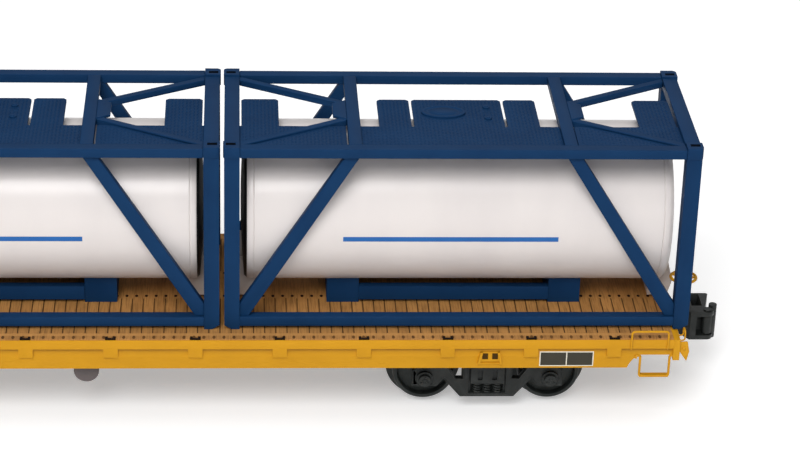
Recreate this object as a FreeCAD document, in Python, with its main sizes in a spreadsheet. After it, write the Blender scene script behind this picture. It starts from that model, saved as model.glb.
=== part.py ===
"""Model railway flatcar, 1:48 scale, three-rail, carrying three framed tank containers.

Origin: middle of the car, at the level of the wheel flanges' lowest points.
+X runs along the car to its brake-wheel end, +Y across it, +Z up. Millimetres.
"""
import FreeCAD, Part
import math
import os

import Sketcher

DOC = FreeCAD.newDocument("TankContainerFlatcar")
SHEET = DOC.addObject("Spreadsheet::Sheet", "Sizes")
NODES = []

# How many of each repeated detail
CONTAINER_COUNT = 3
COIL_COUNT = 3
COIL_SIDES = 8
POCKET_COUNT = 16
BEARER_COUNT = 5
SPOKE_COUNT = 5

# Wheels and trucks
WHEEL_SIZES = {
    "wheel_radius": 8.7,
    "flange_depth": 1.6,
    "flange_thickness": 1.4,
    "flange_tip_land": 0.4,
    "wheel_back_half_gap": 13.8,
    "wheel_width": 5.4,
    "tread_taper": 0.25,
    "rim_depth": 1.3,
    "wheel_dish": 1.5,
    "web_slope": 0.7,
    "hub_radius": 2.6,
    "hub_stand_out": 0.4,
    "axle_radius": 1.25,
    "journal_radius": 0.9,
    "journal_length": 2.6,
    "journal_clearance": 0.08,
    "wheelbase": 34.54,
    "wheel_to_frame": 2.3,
    "frame_thickness": 2.0,
    "bearing_cap_radius": 1.7,
    "bearing_cap_stand_out": 1.5,
    "adapter_radius": 2.2,
    "adapter_stand_out": 0.5,
    "frame_bottom_drop": 5.6,
    "frame_top_rise": 6.7,
    "frame_foot_half": 7.4,
    "arm_width": 2.6,
    "arm_run": 4.7,
    "notch_margin": 3.4,
    "window_half": 5.1,
    "window_bottom_rise": 1.1,
    "column_width": 1.6,
    "jaw_half": 3.4,
    "jaw_drop": 2.3,
    "bolster_half_width": 4.6,
    "bolster_bottom_drop": 1.3,
    "bolster_top_rise": 3.9,
    "bolster_slot_width": 1.3,
    "bolster_slot_margin": 1.1,
    "bolster_slot_depth": 0.8,
    "bolster_slot_offset": 2.0,
    "spring_radius": 1.3,
    "spring_core_radius": 0.95,
    "spring_gap": 0.2,
    "pivot_plate_radius": 5.0,
    "pivot_plate_height": 1.2,
    "pivot_gap": 0.3,
    "kingpin_radius": 1.2,
    "kingpin_clearance": 0.1,
}

# Coupler, measured from the truck's centre
COUPLER_SIZES = {
    "arm_half_width": 3.6,
    "arm_thickness": 1.5,
    "head_start": 55.5,
    "head_shoulder": 2.5,
    "head_near_width": 7.2,
    "head_far_width": 4.7,
    "head_bottom_rise": 3.2,
    "head_height": 8.5,
    "guard_end": 64.3,
    "guard_corner": 0.7,
    "throat_end": 62.4,
    "throat_near": 3.6,
    "funnel_start": 58.8,
    "funnel_wall": 0.7,
    "funnel_taper": 0.8,
    "funnel_depth": 4.0,
    "lug_radius": 1.7,
    "lug_thickness": 1.3,
    "knuckle_slot_reach": 3.2,
    "knuckle_pin_x": 62.95,
    "knuckle_pin_y": 5.5,
    "knuckle_pin_radius": 0.7,
    "knuckle_pin_clearance": 0.08,
    "knuckle_pin_head_radius": 1.2,
    "knuckle_pin_head_height": 0.3,
    "knuckle_hub_radius": 1.4,
    "knuckle_gap": 0.25,
    "knuckle_nose_x": 64.75,
    "knuckle_nose_y": 2.8,
    "knuckle_nose_radius": 1.15,
    "knuckle_nose_rise": 0.5,
    "knuckle_nose_drop": 1.2,
}

# Flatcar body
CAR_SIZES = {
    "deck_rise": 16.9,
    "container_overhang": 2.9,
    "deck_margin": 1.8,
    "truck_inset": 51.07,
    "board_thickness": 2.0,
    "board_pitch": 3.0,
    "board_gap": 0.25,
    "board_gap_depth": 0.35,
    "board_end_margin": 0.1,
    "middle_board_half_width": 8.0,
    "edge_strip_gap": 0.1,
    "edge_strip_margin": 0.2,
    "edge_notch_width": 3.0,
    "edge_notch_depth": 1.2,
    "flange_width": 3.6,
    "sill_step": 0.35,
    "flange_height": 2.65,
    "web_inset": 0.8,
    "web_thickness": 1.2,
    "sill_depth": 9.3,
    "sill_end_depth": 5.3,
    "sill_end_length": 10.8,
    "sill_slope_length": 3.2,
    "pocket_end_margin": 17.9,
    "pocket_width": 3.85,
    "pocket_drop": 5.2,
    "pocket_hole_width": 2.4,
    "pocket_hole_depth": 1.5,
    "end_sill_thickness": 1.8,
    "end_sill_depth": 6.65,
    "end_notch_depth": 4.4,
    "end_notch_half_width": 24.0,
    "centre_sill_half_width": 5.0,
    "centre_sill_depth": 8.0,
    "centre_sill_mid_depth": 12.0,
    "fish_belly_length": 150.0,
    "fish_belly_slope": 30.0,
    "body_bolster_half_width": 4.0,
    "body_bolster_end_depth": 4.5,
    "cross_bearer_width": 2.0,
    "cross_bearer_depth": 5.0,
    "brake_wheel_radius": 3.9,
    "brake_wheel_rim": 0.45,
    "brake_wheel_rise": 8.9,
    "brake_wheel_offset": 12.6,
    "brake_wheel_reach": 2.8,
    "brake_staff_radius": 0.45,
    "brake_hub_radius": 1.0,
    "spoke_width": 0.6,
    "wire_radius": 0.3,
    "grab_width": 9.95,
    "grab_rise": 2.4,
    "grab_drop": 3.0,
    "grab_start": 3.4,
    "step_width": 8.0,
    "step_drop": 11.7,
    "step_start": 2.5,
    "step_tread": 1.6,
    "lever_length": 2.7,
    "lever_top_drop": 1.3,
    "lever_drop": 7.3,
    "lever_thickness": 0.6,
    "end_grab_reach": 1.3,
    "end_grab_width": 2.8,
    "reservoir_radius": 3.6,
    "reservoir_length": 16.0,
    "reservoir_drop": 12.0,
    "reservoir_x": 27.0,
    "cylinder_radius": 3.4,
    "cylinder_length": 15.0,
    "valve_length": 6.0,
    "valve_width": 5.0,
    "valve_height": 6.0,
}

# Framed tank container, measured from its own middle and the deck
CONTAINER_SIZES = {
    "container_length": 126.2,
    "container_width": 52.6,
    "container_height": 53.8,
    "container_gap": 0.8,
    "post_side": 4.1,
    "casting_height": 3.15,
    "casting_corner": 1.2,
    "casting_proud": 0.25,
    "foot_side": 2.1,
    "foot_rise": 1.3,
    "slot_length": 2.6,
    "slot_width": 1.5,
    "slot_depth": 0.8,
    "slot_end_inset": 2.0,
    "slot_side_inset": 2.6,
    "rail_width": 3.3,
    "rail_height": 2.65,
    "bottom_rail_rise": 0.95,
    "top_rail_top": 53.3,
    "cross_inset": 34.7,
    "cross_width": 3.5,
    "cross_height": 2.2,
    "brace_foot_rise": 3.6,
    "brace_foot_run": 2.45,
    "brace_head_start": 31.9,
    "brace_head_end": 35.85,
    "brace_set_back": 1.0,
    "brace_depth": 2.2,
    "top_brace_width": 2.4,
    "top_brace_height": 1.8,
    "top_brace_drop": 0.4,
    "gusset_length": 3.7,
    "gusset_root_half": 6.3,
    "gusset_nose_half": 4.0,
    "gusset_thickness": 0.9,
    "tank_radius": 21.8,
    "tank_axis_rise": 26.6,
    "tank_inset": 6.5,
    "tank_head_depth": 1.9,
    "tank_head_edge": 0.9,
    "tank_ring_inset": 1.6,
    "tank_ring_groove": 0.2,
    "saddle_inset": 32.6,
    "saddle_width": 8.8,
    "saddle_half_span": 10.4,
    "beam_offset": 8.4,
    "beam_width": 2.4,
    "beam_bottom_rise": 1.0,
    "beam_top_rise": 5.0,
    "rest_half_width": 8.0,
    "rest_under_tank": 2.5,
    "rest_foot_reach": 3.0,
    "rest_reach": 4.2,
    "rest_top_reach": 2.3,
    "rest_bottom_rise": 1.0,
    "rest_reach_rise": 5.5,
    "rest_top_rise": 12.9,
    "walk_near_offset": 22.1,
    "walk_far_offset": 8.9,
    "walk_top_rise": 52.3,
    "walk_thickness": 0.8,
    "walk_slit": 0.4,
    "panel_far_offset": 8.8,
    "panel_corner": 0.8,
    "end_panel_inset": 4.8,
    "end_panel_width": 10.0,
    "panel_gap": 0.7,
    "mid_panel_width": 8.7,
    "manhole_panel_width": 24.35,
    "manhole_half_length": 6.0,
    "manhole_half_width": 3.8,
    "manhole_offset": 3.9,
    "manhole_height": 0.6,
    "valve_cap_radius": 1.0,
    "valve_cap_inset": 4.2,
    "valve_cap_offset": 3.6,
    "overrun": 1.0,
}


class Term:
    """A length or share that carries both its cell expression and its value."""

    def __init__(self, text, value):
        self.text = text
        self.value = value

    def _join(self, other, sign, value):
        other_text = other.text if isinstance(other, Term) else repr(float(other))
        return Term(f"({self.text} {sign} {other_text})", value)

    def __add__(self, other):
        return self._join(other, "+", self.value + number(other))

    def __sub__(self, other):
        return self._join(other, "-", self.value - number(other))

    def __mul__(self, other):
        return self._join(other, "*", self.value * number(other))

    def __truediv__(self, other):
        return self._join(other, "/", self.value / number(other))

    def __neg__(self):
        return Term(f"(-1 * {self.text})", -self.value)

    def __radd__(self, other):
        return constant(other) + self

    def __rsub__(self, other):
        return constant(other) - self

    def __rmul__(self, other):
        return constant(other) * self


def number(term):
    """Give the plain value of a term or number."""
    return term.value if isinstance(term, Term) else float(term)


def constant(value):
    """Wrap a plain number, such as zero, as a term."""
    return value if isinstance(value, Term) else Term(repr(float(value)), float(value))


class Sizes:
    """The sheet's cells, each as a term under its alias."""

    def __init__(self, *tables):
        row = 0
        for table in tables:
            for alias, value in table.items():
                row += 1
                SHEET.set(f"A{row}", alias)
                SHEET.set(f"B{row}", str(value))
                SHEET.setAlias(f"B{row}", alias)
                setattr(self, alias, Term(f"Sizes.{alias}", float(value)))


def bind(item, path, term):
    """Tie one property of an object to a term."""
    item.setExpression(path, constant(term).text)


def place(item, x=0, y=0, z=0, turn=None):
    """Turn an object, then tie its place to three terms."""
    if turn is not None:
        item.Placement = FreeCAD.Placement(FreeCAD.Vector(), turn)
    for axis, term in zip("xyz", (x, y, z)):
        bind(item, f"Placement.Base.{axis}", term)
    return item


def box(name, sides, corner):
    """Make a block from its three sides and its lowest corner."""
    item = DOC.addObject("Part::Box", name)
    for path, term in zip(("Length", "Width", "Height"), sides):
        bind(item, path, term)
    return place(item, *corner)


def centred_box(name, sides, middle_bottom):
    """Make a block from its sides and the middle of its underside."""
    length, width, height = (constant(side) for side in sides)
    x, y, z = middle_bottom
    return box(name, sides, (constant(x) - length / 2, constant(y) - width / 2, z))


ALONG_X = FreeCAD.Rotation(FreeCAD.Vector(0, 1, 0), 90)
ALONG_Y = FreeCAD.Rotation(FreeCAD.Vector(1, 0, 0), -90)


def cylinder(name, radius, height, base, turn=None):
    """Make a round bar from the middle of its first end."""
    item = DOC.addObject("Part::Cylinder", name)
    bind(item, "Radius", radius)
    bind(item, "Height", height)
    return place(item, *base, turn=turn)


def frustum(name, first, last, taper, low, high):
    """Make a block whose upper rectangle, from first to last corner, narrows by the taper downwards."""
    item = DOC.addObject("Part::Wedge", name)
    (x1, y1), (x2, y2) = first, last
    sizes = {
        "Xmin": x1 + taper, "Xmax": x2 - taper, "Zmin": -y2 + taper, "Zmax": -y1 - taper,
        "X2min": x1, "X2max": x2, "Z2min": -y2, "Z2max": -y1,
        "Ymin": low, "Ymax": high,
    }
    for path, term in sizes.items():
        bind(item, path, term)
    item.Placement = FreeCAD.Placement(FreeCAD.Vector(), FreeCAD.Rotation(FreeCAD.Vector(1, 0, 0), 90))
    return item


def mirrored(name, source, normal):
    """Mirror an object in the plane through the origin with this normal."""
    item = DOC.addObject("Part::Mirroring", name)
    item.Source = source
    item.Normal = FreeCAD.Vector(*normal)
    return item


def group(name, pieces):
    """Hold several solids that don't touch as one object."""
    item = DOC.addObject("Part::Compound", name)
    item.Links = pieces
    return item


def fused(name, pieces):
    """Join solids into one."""
    item = DOC.addObject("Part::MultiFuse", name)
    item.Shapes = pieces
    item.Refine = True
    return item


def cut(name, base, tool):
    """Take one solid away from another."""
    item = DOC.addObject("Part::Cut", name)
    item.Base = base
    item.Tool = tool
    item.Refine = True
    return item


def both_ways(name, source, normal):
    """Give a solid and its mirror image as one object."""
    return group(name, [source, mirrored(f"{name}_mirror", source, normal)])


def four_corners(name, source):
    """Give a solid at all four corners of a rectangle about the origin."""
    pair = both_ways(f"{name}_pair", source, (1, 0, 0))
    return both_ways(name, pair, (0, 1, 0))


def node(label, item):
    """Name an object as one of the part's sub-parts."""
    item.Label = label
    NODES.append(item)
    return item


def origin_part(body, role):
    """Find a plane or axis of a body's own origin."""
    return next(item for item in body.Origin.OriginFeatures if item.Role == role)


def arc_between(first, last, radius):
    """Make the short arc between two spots, bulging to the right of the way for a positive radius."""
    way = last - first
    half = way.Length / 2
    side = math.copysign(math.sqrt(max(radius * radius - half * half, 0)) / way.Length, radius)
    middle = (first + last) / 2 + FreeCAD.Vector(-way.y, way.x, 0) * side
    circle = Part.Circle(middle, FreeCAD.Vector(0, 0, 1), abs(radius))
    ends = [math.atan2(spot.y - middle.y, spot.x - middle.x) for spot in (first, last)]
    return Part.ArcOfCircle(circle, *(ends if radius > 0 else reversed(ends)))


def outline(body, name, plane, points, offset=0):
    """Draw a closed outline whose corners are tied to terms.

    A corner with a third term starts an arc of that radius. On an anticlockwise outline
    it bulges outwards, or inwards where the radius is below zero.
    """
    sketch = body.newObject("Sketcher::SketchObject", name)
    sketch.AttachmentSupport = [(origin_part(body, plane), "")]
    sketch.MapMode = "FlatFace"
    bind(sketch, "AttachmentOffset.Base.z", offset)
    spots = [FreeCAD.Vector(number(point[0]), number(point[1]), 0) for point in points]
    pieces = []
    for index, point in enumerate(points):
        following = spots[(index + 1) % len(spots)]
        if len(point) == 2:
            piece = sketch.addGeometry(Part.LineSegment(spots[index], following), False)
            pieces.append((piece, 1, 2))
            continue
        radius = point[2]
        piece = sketch.addGeometry(arc_between(spots[index], following, number(radius)), False)
        size = radius if number(radius) > 0 else -radius
        rule = Sketcher.Constraint("Radius", piece, number(size))
        bind(sketch, f"Constraints[{sketch.addConstraint(rule)}]", size)
        pieces.append((piece, 1, 2) if number(radius) > 0 else (piece, 2, 1))
    for index, (piece, start, end) in enumerate(pieces):
        following, following_start, _ = pieces[(index + 1) % len(pieces)]
        sketch.addConstraint(Sketcher.Constraint("Coincident", piece, end, following, following_start))
        for kind, term in zip(("DistanceX", "DistanceY"), points[index]):
            rule = Sketcher.Constraint(kind, -1, 1, piece, start, number(term))
            bind(sketch, f"Constraints[{sketch.addConstraint(rule)}]", term)
    return sketch


def other_half(points):
    """Mirror one half of an outline and run through it backwards, arcs included."""
    half = []
    for index in reversed(range(len(points))):
        arc = points[index - 1][2:] if index > 0 else ()
        half.append((-points[index][0], points[index][1]) + tuple(arc))
    return half


def prism(name, plane, points, start, thickness, holes=()):
    """Pad an outline from a start distance along its plane's normal."""
    body = DOC.addObject("PartDesign::Body", name)
    pad = body.newObject("PartDesign::Pad", f"{name}_pad")
    pad.Profile = outline(body, f"{name}_outline", plane, points, start)
    bind(pad, "Length", thickness)
    body.Tip = pad
    for index, hole in enumerate(holes):
        DOC.recompute()
        pocket = body.newObject("PartDesign::Pocket", f"{name}_window_{index}")
        pocket.Profile = outline(body, f"{name}_window_outline_{index}", plane, hole, start)
        pocket.Type = "ThroughAll"
        pocket.Reversed = True
        body.Tip = pocket
    return body


def lathe(name, points, axis_role):
    """Turn an outline in the XY plane once round the X or Y axis."""
    body = DOC.addObject("PartDesign::Body", name)
    turned = body.newObject("PartDesign::Revolution", f"{name}_turned")
    turned.Profile = outline(body, f"{name}_outline", "XY_Plane", points)
    turned.ReferenceAxis = (origin_part(body, axis_role), [""])
    turned.Angle = 360
    body.Tip = turned
    return body


S = Sizes(WHEEL_SIZES, COUPLER_SIZES, CAR_SIZES, CONTAINER_SIZES)
DOC.recompute()

# Levels and places that several sub-parts share
AXLE_Z = S.wheel_radius + S.flange_depth
DECK_Z = AXLE_Z + S.deck_rise
CONTAINER_PITCH = S.container_length + S.container_gap
CAR_HALF = (CONTAINER_PITCH * CONTAINER_COUNT - S.container_gap) / 2 - S.container_overhang
DECK_HALF = S.container_width / 2 + S.deck_margin
SILL_HALF = DECK_HALF + S.flange_width
POCKET_PITCH = (CAR_HALF - S.pocket_end_margin) * 2 / (POCKET_COUNT - 1)
SILL_TOP = DECK_Z - S.sill_step
UNDER_BOARDS = DECK_Z - S.board_thickness
DECK_HALF_LENGTH = CAR_HALF - S.end_sill_thickness - S.board_end_margin
BOLSTER_TOP = AXLE_Z + S.bolster_top_rise
ARM_TOP = BOLSTER_TOP + S.arm_thickness
PLATE_TOP = ARM_TOP + S.pivot_plate_height
TRUCK_X = CAR_HALF - S.truck_inset
FRAME_INNER = S.wheel_back_half_gap + S.wheel_width + S.wheel_to_frame
HEAD_LOW = AXLE_Z + S.head_bottom_rise
HEAD_HIGH = HEAD_LOW + S.head_height

# A container's shared places, from its own middle
END_X = S.container_length / 2
SIDE_Y = S.container_width / 2
POST_OUTER_X = END_X - S.casting_proud
POST_OUTER_Y = SIDE_Y - S.casting_proud
POST_INNER_X = POST_OUTER_X - S.post_side
POST_INNER_Y = POST_OUTER_Y - S.post_side
RAIL_INNER_Y = POST_OUTER_Y - S.rail_width
CROSS_X = END_X - S.cross_inset
BOTTOM_RAIL_TOP = DECK_Z + S.bottom_rail_rise + S.rail_height
TOP_RAIL_TOP = DECK_Z + S.top_rail_top
TOP_RAIL_LOW = TOP_RAIL_TOP - S.rail_height
TANK_END = END_X - S.tank_inset


# Wheelsets

def make_wheelset():
    """Turn one axle with its two flanged wheels."""
    back = S.wheel_back_half_gap
    front = back + S.wheel_width
    rim_radius = S.wheel_radius - S.rim_depth
    tip = S.wheel_radius + S.flange_depth
    half = [
        (0, 0),
        (S.axle_radius, 0),
        (S.axle_radius, back),
        (tip, back),
        (tip, back + S.flange_tip_land),
        (S.wheel_radius, back + S.flange_thickness),
        (S.wheel_radius - S.tread_taper, front),
        (rim_radius, front),
        (rim_radius, front - S.wheel_dish),
        (S.hub_radius, front - S.wheel_dish + S.web_slope),
        (S.hub_radius, front + S.hub_stand_out),
        (S.journal_radius, front + S.hub_stand_out),
        (S.journal_radius, front + S.journal_length),
        (0, front + S.journal_length),
    ]
    body = lathe("wheelset_half", half, "Y_Axis")
    both = body.newObject("PartDesign::Mirrored", "wheelset_both")
    both.Originals = [body.Tip]
    both.MirrorPlane = (origin_part(body, "XZ_Plane"), [""])
    body.Tip = both
    return body


# Trucks

def make_side_frame():
    """Make the near side frame, in the truck's own frame."""
    outer = FRAME_INNER + S.frame_thickness
    low = AXLE_Z - S.frame_bottom_drop
    high = AXLE_Z + S.frame_top_rise
    axle = S.wheelbase / 2
    jaw_low = AXLE_Z - S.jaw_drop
    jaw_in = axle - S.jaw_half
    jaw_out = axle + S.jaw_half
    arm_end = S.frame_foot_half + S.arm_run
    shoulder = S.window_half + S.column_width * 2
    right = [
        (S.frame_foot_half, low),
        (arm_end, AXLE_Z),
        (jaw_in, jaw_low),
        (jaw_out, jaw_low),
        (jaw_out, AXLE_Z + S.jaw_drop),
        (axle + S.jaw_half / 2, AXLE_Z + S.jaw_half + S.jaw_drop / 2),
        (shoulder, high),
    ]
    window_low = low + S.window_bottom_rise
    window_high = high - S.column_width
    window = [
        (S.window_half, window_low),
        (S.window_half, window_high),
        (-S.window_half, window_high),
        (-S.window_half, window_low),
    ]
    column_out = S.window_half + S.column_width
    notch = [
        (column_out, AXLE_Z),
        (arm_end - S.notch_margin, AXLE_Z),
        (jaw_in - S.arm_width, AXLE_Z + S.bolster_top_rise),
        (column_out, AXLE_Z + S.bolster_top_rise),
    ]
    plate = prism("side_frame_plate", "XZ_Plane", right + other_half(right), FRAME_INNER, S.frame_thickness,
                  (window, notch, other_half(notch)))
    pieces = [plate]
    for index, x in enumerate((axle, -axle)):
        cap_end = outer + S.bearing_cap_stand_out
        pieces.append(cylinder(f"adapter_{index}", S.adapter_radius, S.frame_thickness + S.adapter_stand_out,
                               (x, -(outer + S.adapter_stand_out), AXLE_Z), ALONG_Y))
        pieces.append(cylinder(f"bearing_cap_{index}", S.bearing_cap_radius, cap_end - FRAME_INNER,
                               (x, -cap_end, AXLE_Z), ALONG_Y))
    frame = fused("side_frame_solid", pieces)
    bore_radius = S.journal_radius + S.journal_clearance
    bore_end = S.wheel_back_half_gap + S.wheel_width + S.journal_length + S.journal_clearance * 2
    bores = []
    for index, x in enumerate((axle, -axle)):
        bores.append(cylinder(f"journal_bore_{index}", bore_radius, bore_end,
                              (x, -bore_end, AXLE_Z), ALONG_Y))
    return cut("side_frame", frame, group("journal_bores", bores))


def make_truck_bolster():
    """Make the bolster with its centre plate and the bore for the kingpin."""
    half_span = FRAME_INNER + S.frame_thickness + S.adapter_stand_out
    bottom = AXLE_Z - S.bolster_bottom_drop
    beam = centred_box("bolster_beam", (S.bolster_half_width * 2, half_span * 2, BOLSTER_TOP - bottom),
                       (0, 0, bottom))
    bore = cylinder("bolster_bore", S.kingpin_radius + S.kingpin_clearance,
                    BOLSTER_TOP - bottom + S.overrun * 2, (0, 0, bottom - S.overrun))
    slot = centred_box("bolster_slot", (S.bolster_slot_width, S.bolster_slot_depth + S.overrun,
                                        BOLSTER_TOP - bottom - S.bolster_slot_margin * 2),
                       (S.bolster_slot_offset, -(half_span - (S.bolster_slot_depth - S.overrun) / 2),
                        bottom + S.bolster_slot_margin))
    return cut("bolster", beam, group("bolster_cuts", [bore, four_corners("bolster_slots", slot)]))


def flat_column(name, radius, height, base):
    """Make an upright column with flat sides."""
    item = DOC.addObject("Part::Prism", name)
    item.Polygon = COIL_SIDES
    bind(item, "Circumradius", radius)
    bind(item, "Height", height)
    return place(item, *base)


def make_springs():
    """Make the ribbed spring columns under both bolster ends."""
    low = AXLE_Z - S.frame_bottom_drop + S.window_bottom_rise
    height = AXLE_Z - S.bolster_bottom_drop - low
    pitch = height / COIL_COUNT
    coils = [flat_column("spring_core", S.spring_core_radius, height, (0, 0, 0))]
    for index in range(COIL_COUNT):
        base = pitch * index + pitch / 4
        coils.append(flat_column(f"spring_coil_{index}", S.spring_radius, pitch / 2, (0, 0, base)))
    spring = fused("spring_column", coils)
    middle = FRAME_INNER + S.frame_thickness / 2
    columns = []
    for index in (-1, 0, 1):
        column = group(f"spring_{index + 1}", [spring])
        columns.append(place(column, (S.spring_radius * 2 + S.spring_gap) * index, -middle, low))
    return both_ways("springs", group("spring_row", columns), (0, 1, 0))


def make_coupler():
    """Make the coupler's arm and head, with the funnel in its top and the lugs for the knuckle."""
    arm_start = -S.pivot_plate_radius
    shoulder = S.head_start + S.head_shoulder
    arm = box("coupler_arm", (shoulder - arm_start, S.arm_half_width * 2, S.arm_thickness),
              (arm_start, -S.arm_half_width, BOLSTER_TOP))
    plate = cylinder("centre_plate", S.pivot_plate_radius, S.arm_thickness + S.pivot_plate_height,
                     (0, 0, BOLSTER_TOP))
    head_points = [
        (S.head_start, -S.arm_half_width),
        (shoulder, -S.head_near_width),
        (S.knuckle_pin_x, -(S.knuckle_pin_y + S.lug_radius), S.lug_radius),
        (S.knuckle_pin_x + S.lug_radius, -S.knuckle_pin_y, S.lug_radius),
        (S.knuckle_pin_x, -(S.knuckle_pin_y - S.lug_radius)),
        (S.throat_end, -S.throat_near),
        (S.guard_end, S.head_far_width - S.guard_corner, S.guard_corner),
        (S.guard_end - S.guard_corner, S.head_far_width),
        (shoulder, S.head_far_width),
        (S.head_start, S.arm_half_width),
    ]
    head = prism("coupler_block", "XY_Plane", head_points, HEAD_LOW, S.head_height)
    slot = box("knuckle_slot", (S.knuckle_slot_reach + S.lug_radius + S.overrun,
                                S.head_near_width - S.throat_near + S.overrun,
                                S.head_height - S.lug_thickness * 2),
               (S.knuckle_pin_x - S.knuckle_slot_reach, -(S.head_near_width + S.overrun),
                HEAD_LOW + S.lug_thickness))
    pin_hole = cylinder("knuckle_pin_bore", S.knuckle_pin_radius + S.knuckle_pin_clearance,
                        S.head_height + S.overrun * 2,
                        (S.knuckle_pin_x, -S.knuckle_pin_y, HEAD_LOW - S.overrun))
    king_bore = cylinder("plate_bore", S.kingpin_radius + S.kingpin_clearance,
                         S.arm_thickness + S.pivot_plate_height + S.overrun * 2,
                         (0, 0, BOLSTER_TOP - S.overrun))
    funnel = frustum("coupler_funnel",
                     (S.funnel_start, -(S.throat_near - S.funnel_wall)),
                     (S.throat_end - S.funnel_wall, S.head_far_width - S.funnel_wall),
                     S.funnel_taper, HEAD_HIGH - S.funnel_depth, HEAD_HIGH)
    solid = fused("coupler_solid", [arm, plate, head])
    return cut("coupler", solid, group("coupler_holes", [slot, pin_hole, king_bore, funnel]))


def make_knuckle():
    """Make the hinged knuckle with its headed pin and its tall nose."""
    low = HEAD_LOW + S.lug_thickness + S.knuckle_gap
    high = HEAD_HIGH - S.lug_thickness - S.knuckle_gap
    pin_place = (S.knuckle_pin_x, -S.knuckle_pin_y)
    hub = cylinder("knuckle_hub", S.knuckle_hub_radius, high - low, (*pin_place, low))
    pin = cylinder("knuckle_pin", S.knuckle_pin_radius, S.head_height + S.knuckle_pin_clearance,
                   (*pin_place, HEAD_LOW))
    pin_head = cylinder("knuckle_pin_head", S.knuckle_pin_head_radius, S.knuckle_pin_head_height,
                        (*pin_place, HEAD_HIGH + S.knuckle_pin_clearance))
    arm_half = S.knuckle_nose_radius
    points = [
        (S.knuckle_pin_x - arm_half / 2, -(S.knuckle_pin_y + arm_half)),
        (S.knuckle_nose_x, -(S.knuckle_pin_y + arm_half / 2)),
        (S.knuckle_nose_x + arm_half / 2, -S.knuckle_nose_y),
        (S.knuckle_nose_x - arm_half / 2, -S.knuckle_nose_y),
        (S.knuckle_pin_x, -(S.knuckle_pin_y - arm_half)),
    ]
    jaw = prism("knuckle_jaw", "XY_Plane", points, low, high - low)
    nose = cylinder("knuckle_nose", S.knuckle_nose_radius,
                    S.head_height + S.knuckle_nose_rise + S.knuckle_nose_drop,
                    (S.knuckle_nose_x, -S.knuckle_nose_y, HEAD_LOW - S.knuckle_nose_drop))
    return fused("knuckle", [hub, pin, pin_head, jaw, nose])


# Flatcar body

def body_block(body, kind, name, sides, corner):
    """Add a block to a body, or cut one out of it."""
    block = body.newObject(f"PartDesign::{kind}", name)
    for path, term in zip(("Length", "Width", "Height"), sides):
        bind(block, path, term)
    place(block, *corner)
    DOC.recompute()
    return block


def row_along(body, name, features, length, count):
    """Repeat a body's last features along the X axis."""
    row = body.newObject("PartDesign::LinearPattern", name)
    row.Originals = features
    row.Direction = (origin_part(body, "X_Axis"), [""])
    bind(row, "Length", length)
    row.Occurrences = count
    body.Tip = row


def make_deck():
    """Make the deck, with seams between its boards on both sides of a plain middle board."""
    body = DOC.addObject("PartDesign::Body", "deck")
    body_block(body, "AdditiveBox", "deck_slab", (DECK_HALF_LENGTH * 2, DECK_HALF * 2, S.board_thickness),
               (-DECK_HALF_LENGTH, -DECK_HALF, UNDER_BOARDS))
    seams = []
    count = math.floor(number(DECK_HALF_LENGTH) / number(S.board_pitch)) - 1
    first_x = -(S.board_pitch * count + S.board_gap / 2)
    for name, low_y in (("near_seam", -DECK_HALF), ("far_seam", S.middle_board_half_width)):
        seams.append(body_block(body, "SubtractiveBox", name,
                                (S.board_gap, DECK_HALF - S.middle_board_half_width, S.board_gap_depth),
                                (first_x, low_y, DECK_Z - S.board_gap_depth)))
    row_along(body, "seam_row", seams, S.board_pitch * (count * 2), count * 2 + 1)
    return body


def make_edge_strip():
    """Make the near edge strip on the sill's flange, notched at the stake pockets."""
    inner = DECK_HALF + S.edge_strip_gap
    outer = SILL_HALF - S.edge_strip_margin
    body = DOC.addObject("PartDesign::Body", "edge_strip")
    body_block(body, "AdditiveBox", "edge_strip_bar", (DECK_HALF_LENGTH * 2, outer - inner, S.sill_step),
               (-DECK_HALF_LENGTH, -outer, SILL_TOP))
    row_length = POCKET_PITCH * (POCKET_COUNT - 1)
    notch = body_block(body, "SubtractiveBox", "edge_notch",
                       (S.edge_notch_width, S.edge_notch_depth, S.sill_step),
                       (-(row_length + S.edge_notch_width) / 2, -outer, SILL_TOP))
    row_along(body, "edge_notch_row", [notch], row_length, POCKET_COUNT)
    return body


def make_side_sill():
    """Make the near side sill: web, top flange and stake pockets."""
    web_low = DECK_Z - S.sill_depth
    end_low = DECK_Z - S.sill_end_depth
    flange_low = SILL_TOP - S.flange_height
    end_x = CAR_HALF - S.end_sill_thickness
    slope_end = CAR_HALF - S.sill_end_length
    slope_start = slope_end - S.sill_slope_length
    slope_radius = S.sill_slope_length + S.sill_depth - S.sill_end_depth
    right = [
        (slope_start, web_low, -slope_radius),
        (slope_end, end_low),
        (end_x, end_low),
        (end_x, flange_low),
    ]
    web_inner = SILL_HALF - S.web_inset - S.web_thickness
    web = prism("sill_web", "XZ_Plane", right + other_half(right), web_inner, S.web_thickness)
    flange = box("sill_flange", (end_x * 2, SILL_HALF - DECK_HALF, S.flange_height),
                 (-end_x, -SILL_HALF, flange_low))
    pocket_depth = SILL_HALF - web_inner
    pockets = []
    holes = []
    for index in range(POCKET_COUNT):
        x = POCKET_PITCH * (index - (POCKET_COUNT - 1) / 2)
        pockets.append(box(f"pocket_{index}", (S.pocket_width, pocket_depth, S.pocket_drop),
                           (x - S.pocket_width / 2, -SILL_HALF, SILL_TOP - S.pocket_drop)))
        holes.append(box(f"pocket_hole_{index}", (S.pocket_hole_width, S.pocket_hole_depth, S.overrun * 2),
                         (x - S.pocket_hole_width / 2, -SILL_HALF + S.web_inset / 2, SILL_TOP - S.overrun)))
    solid = fused("sill_solid", [web, flange] + pockets)
    return cut("side_sill", solid, group("pocket_holes", holes))


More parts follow.
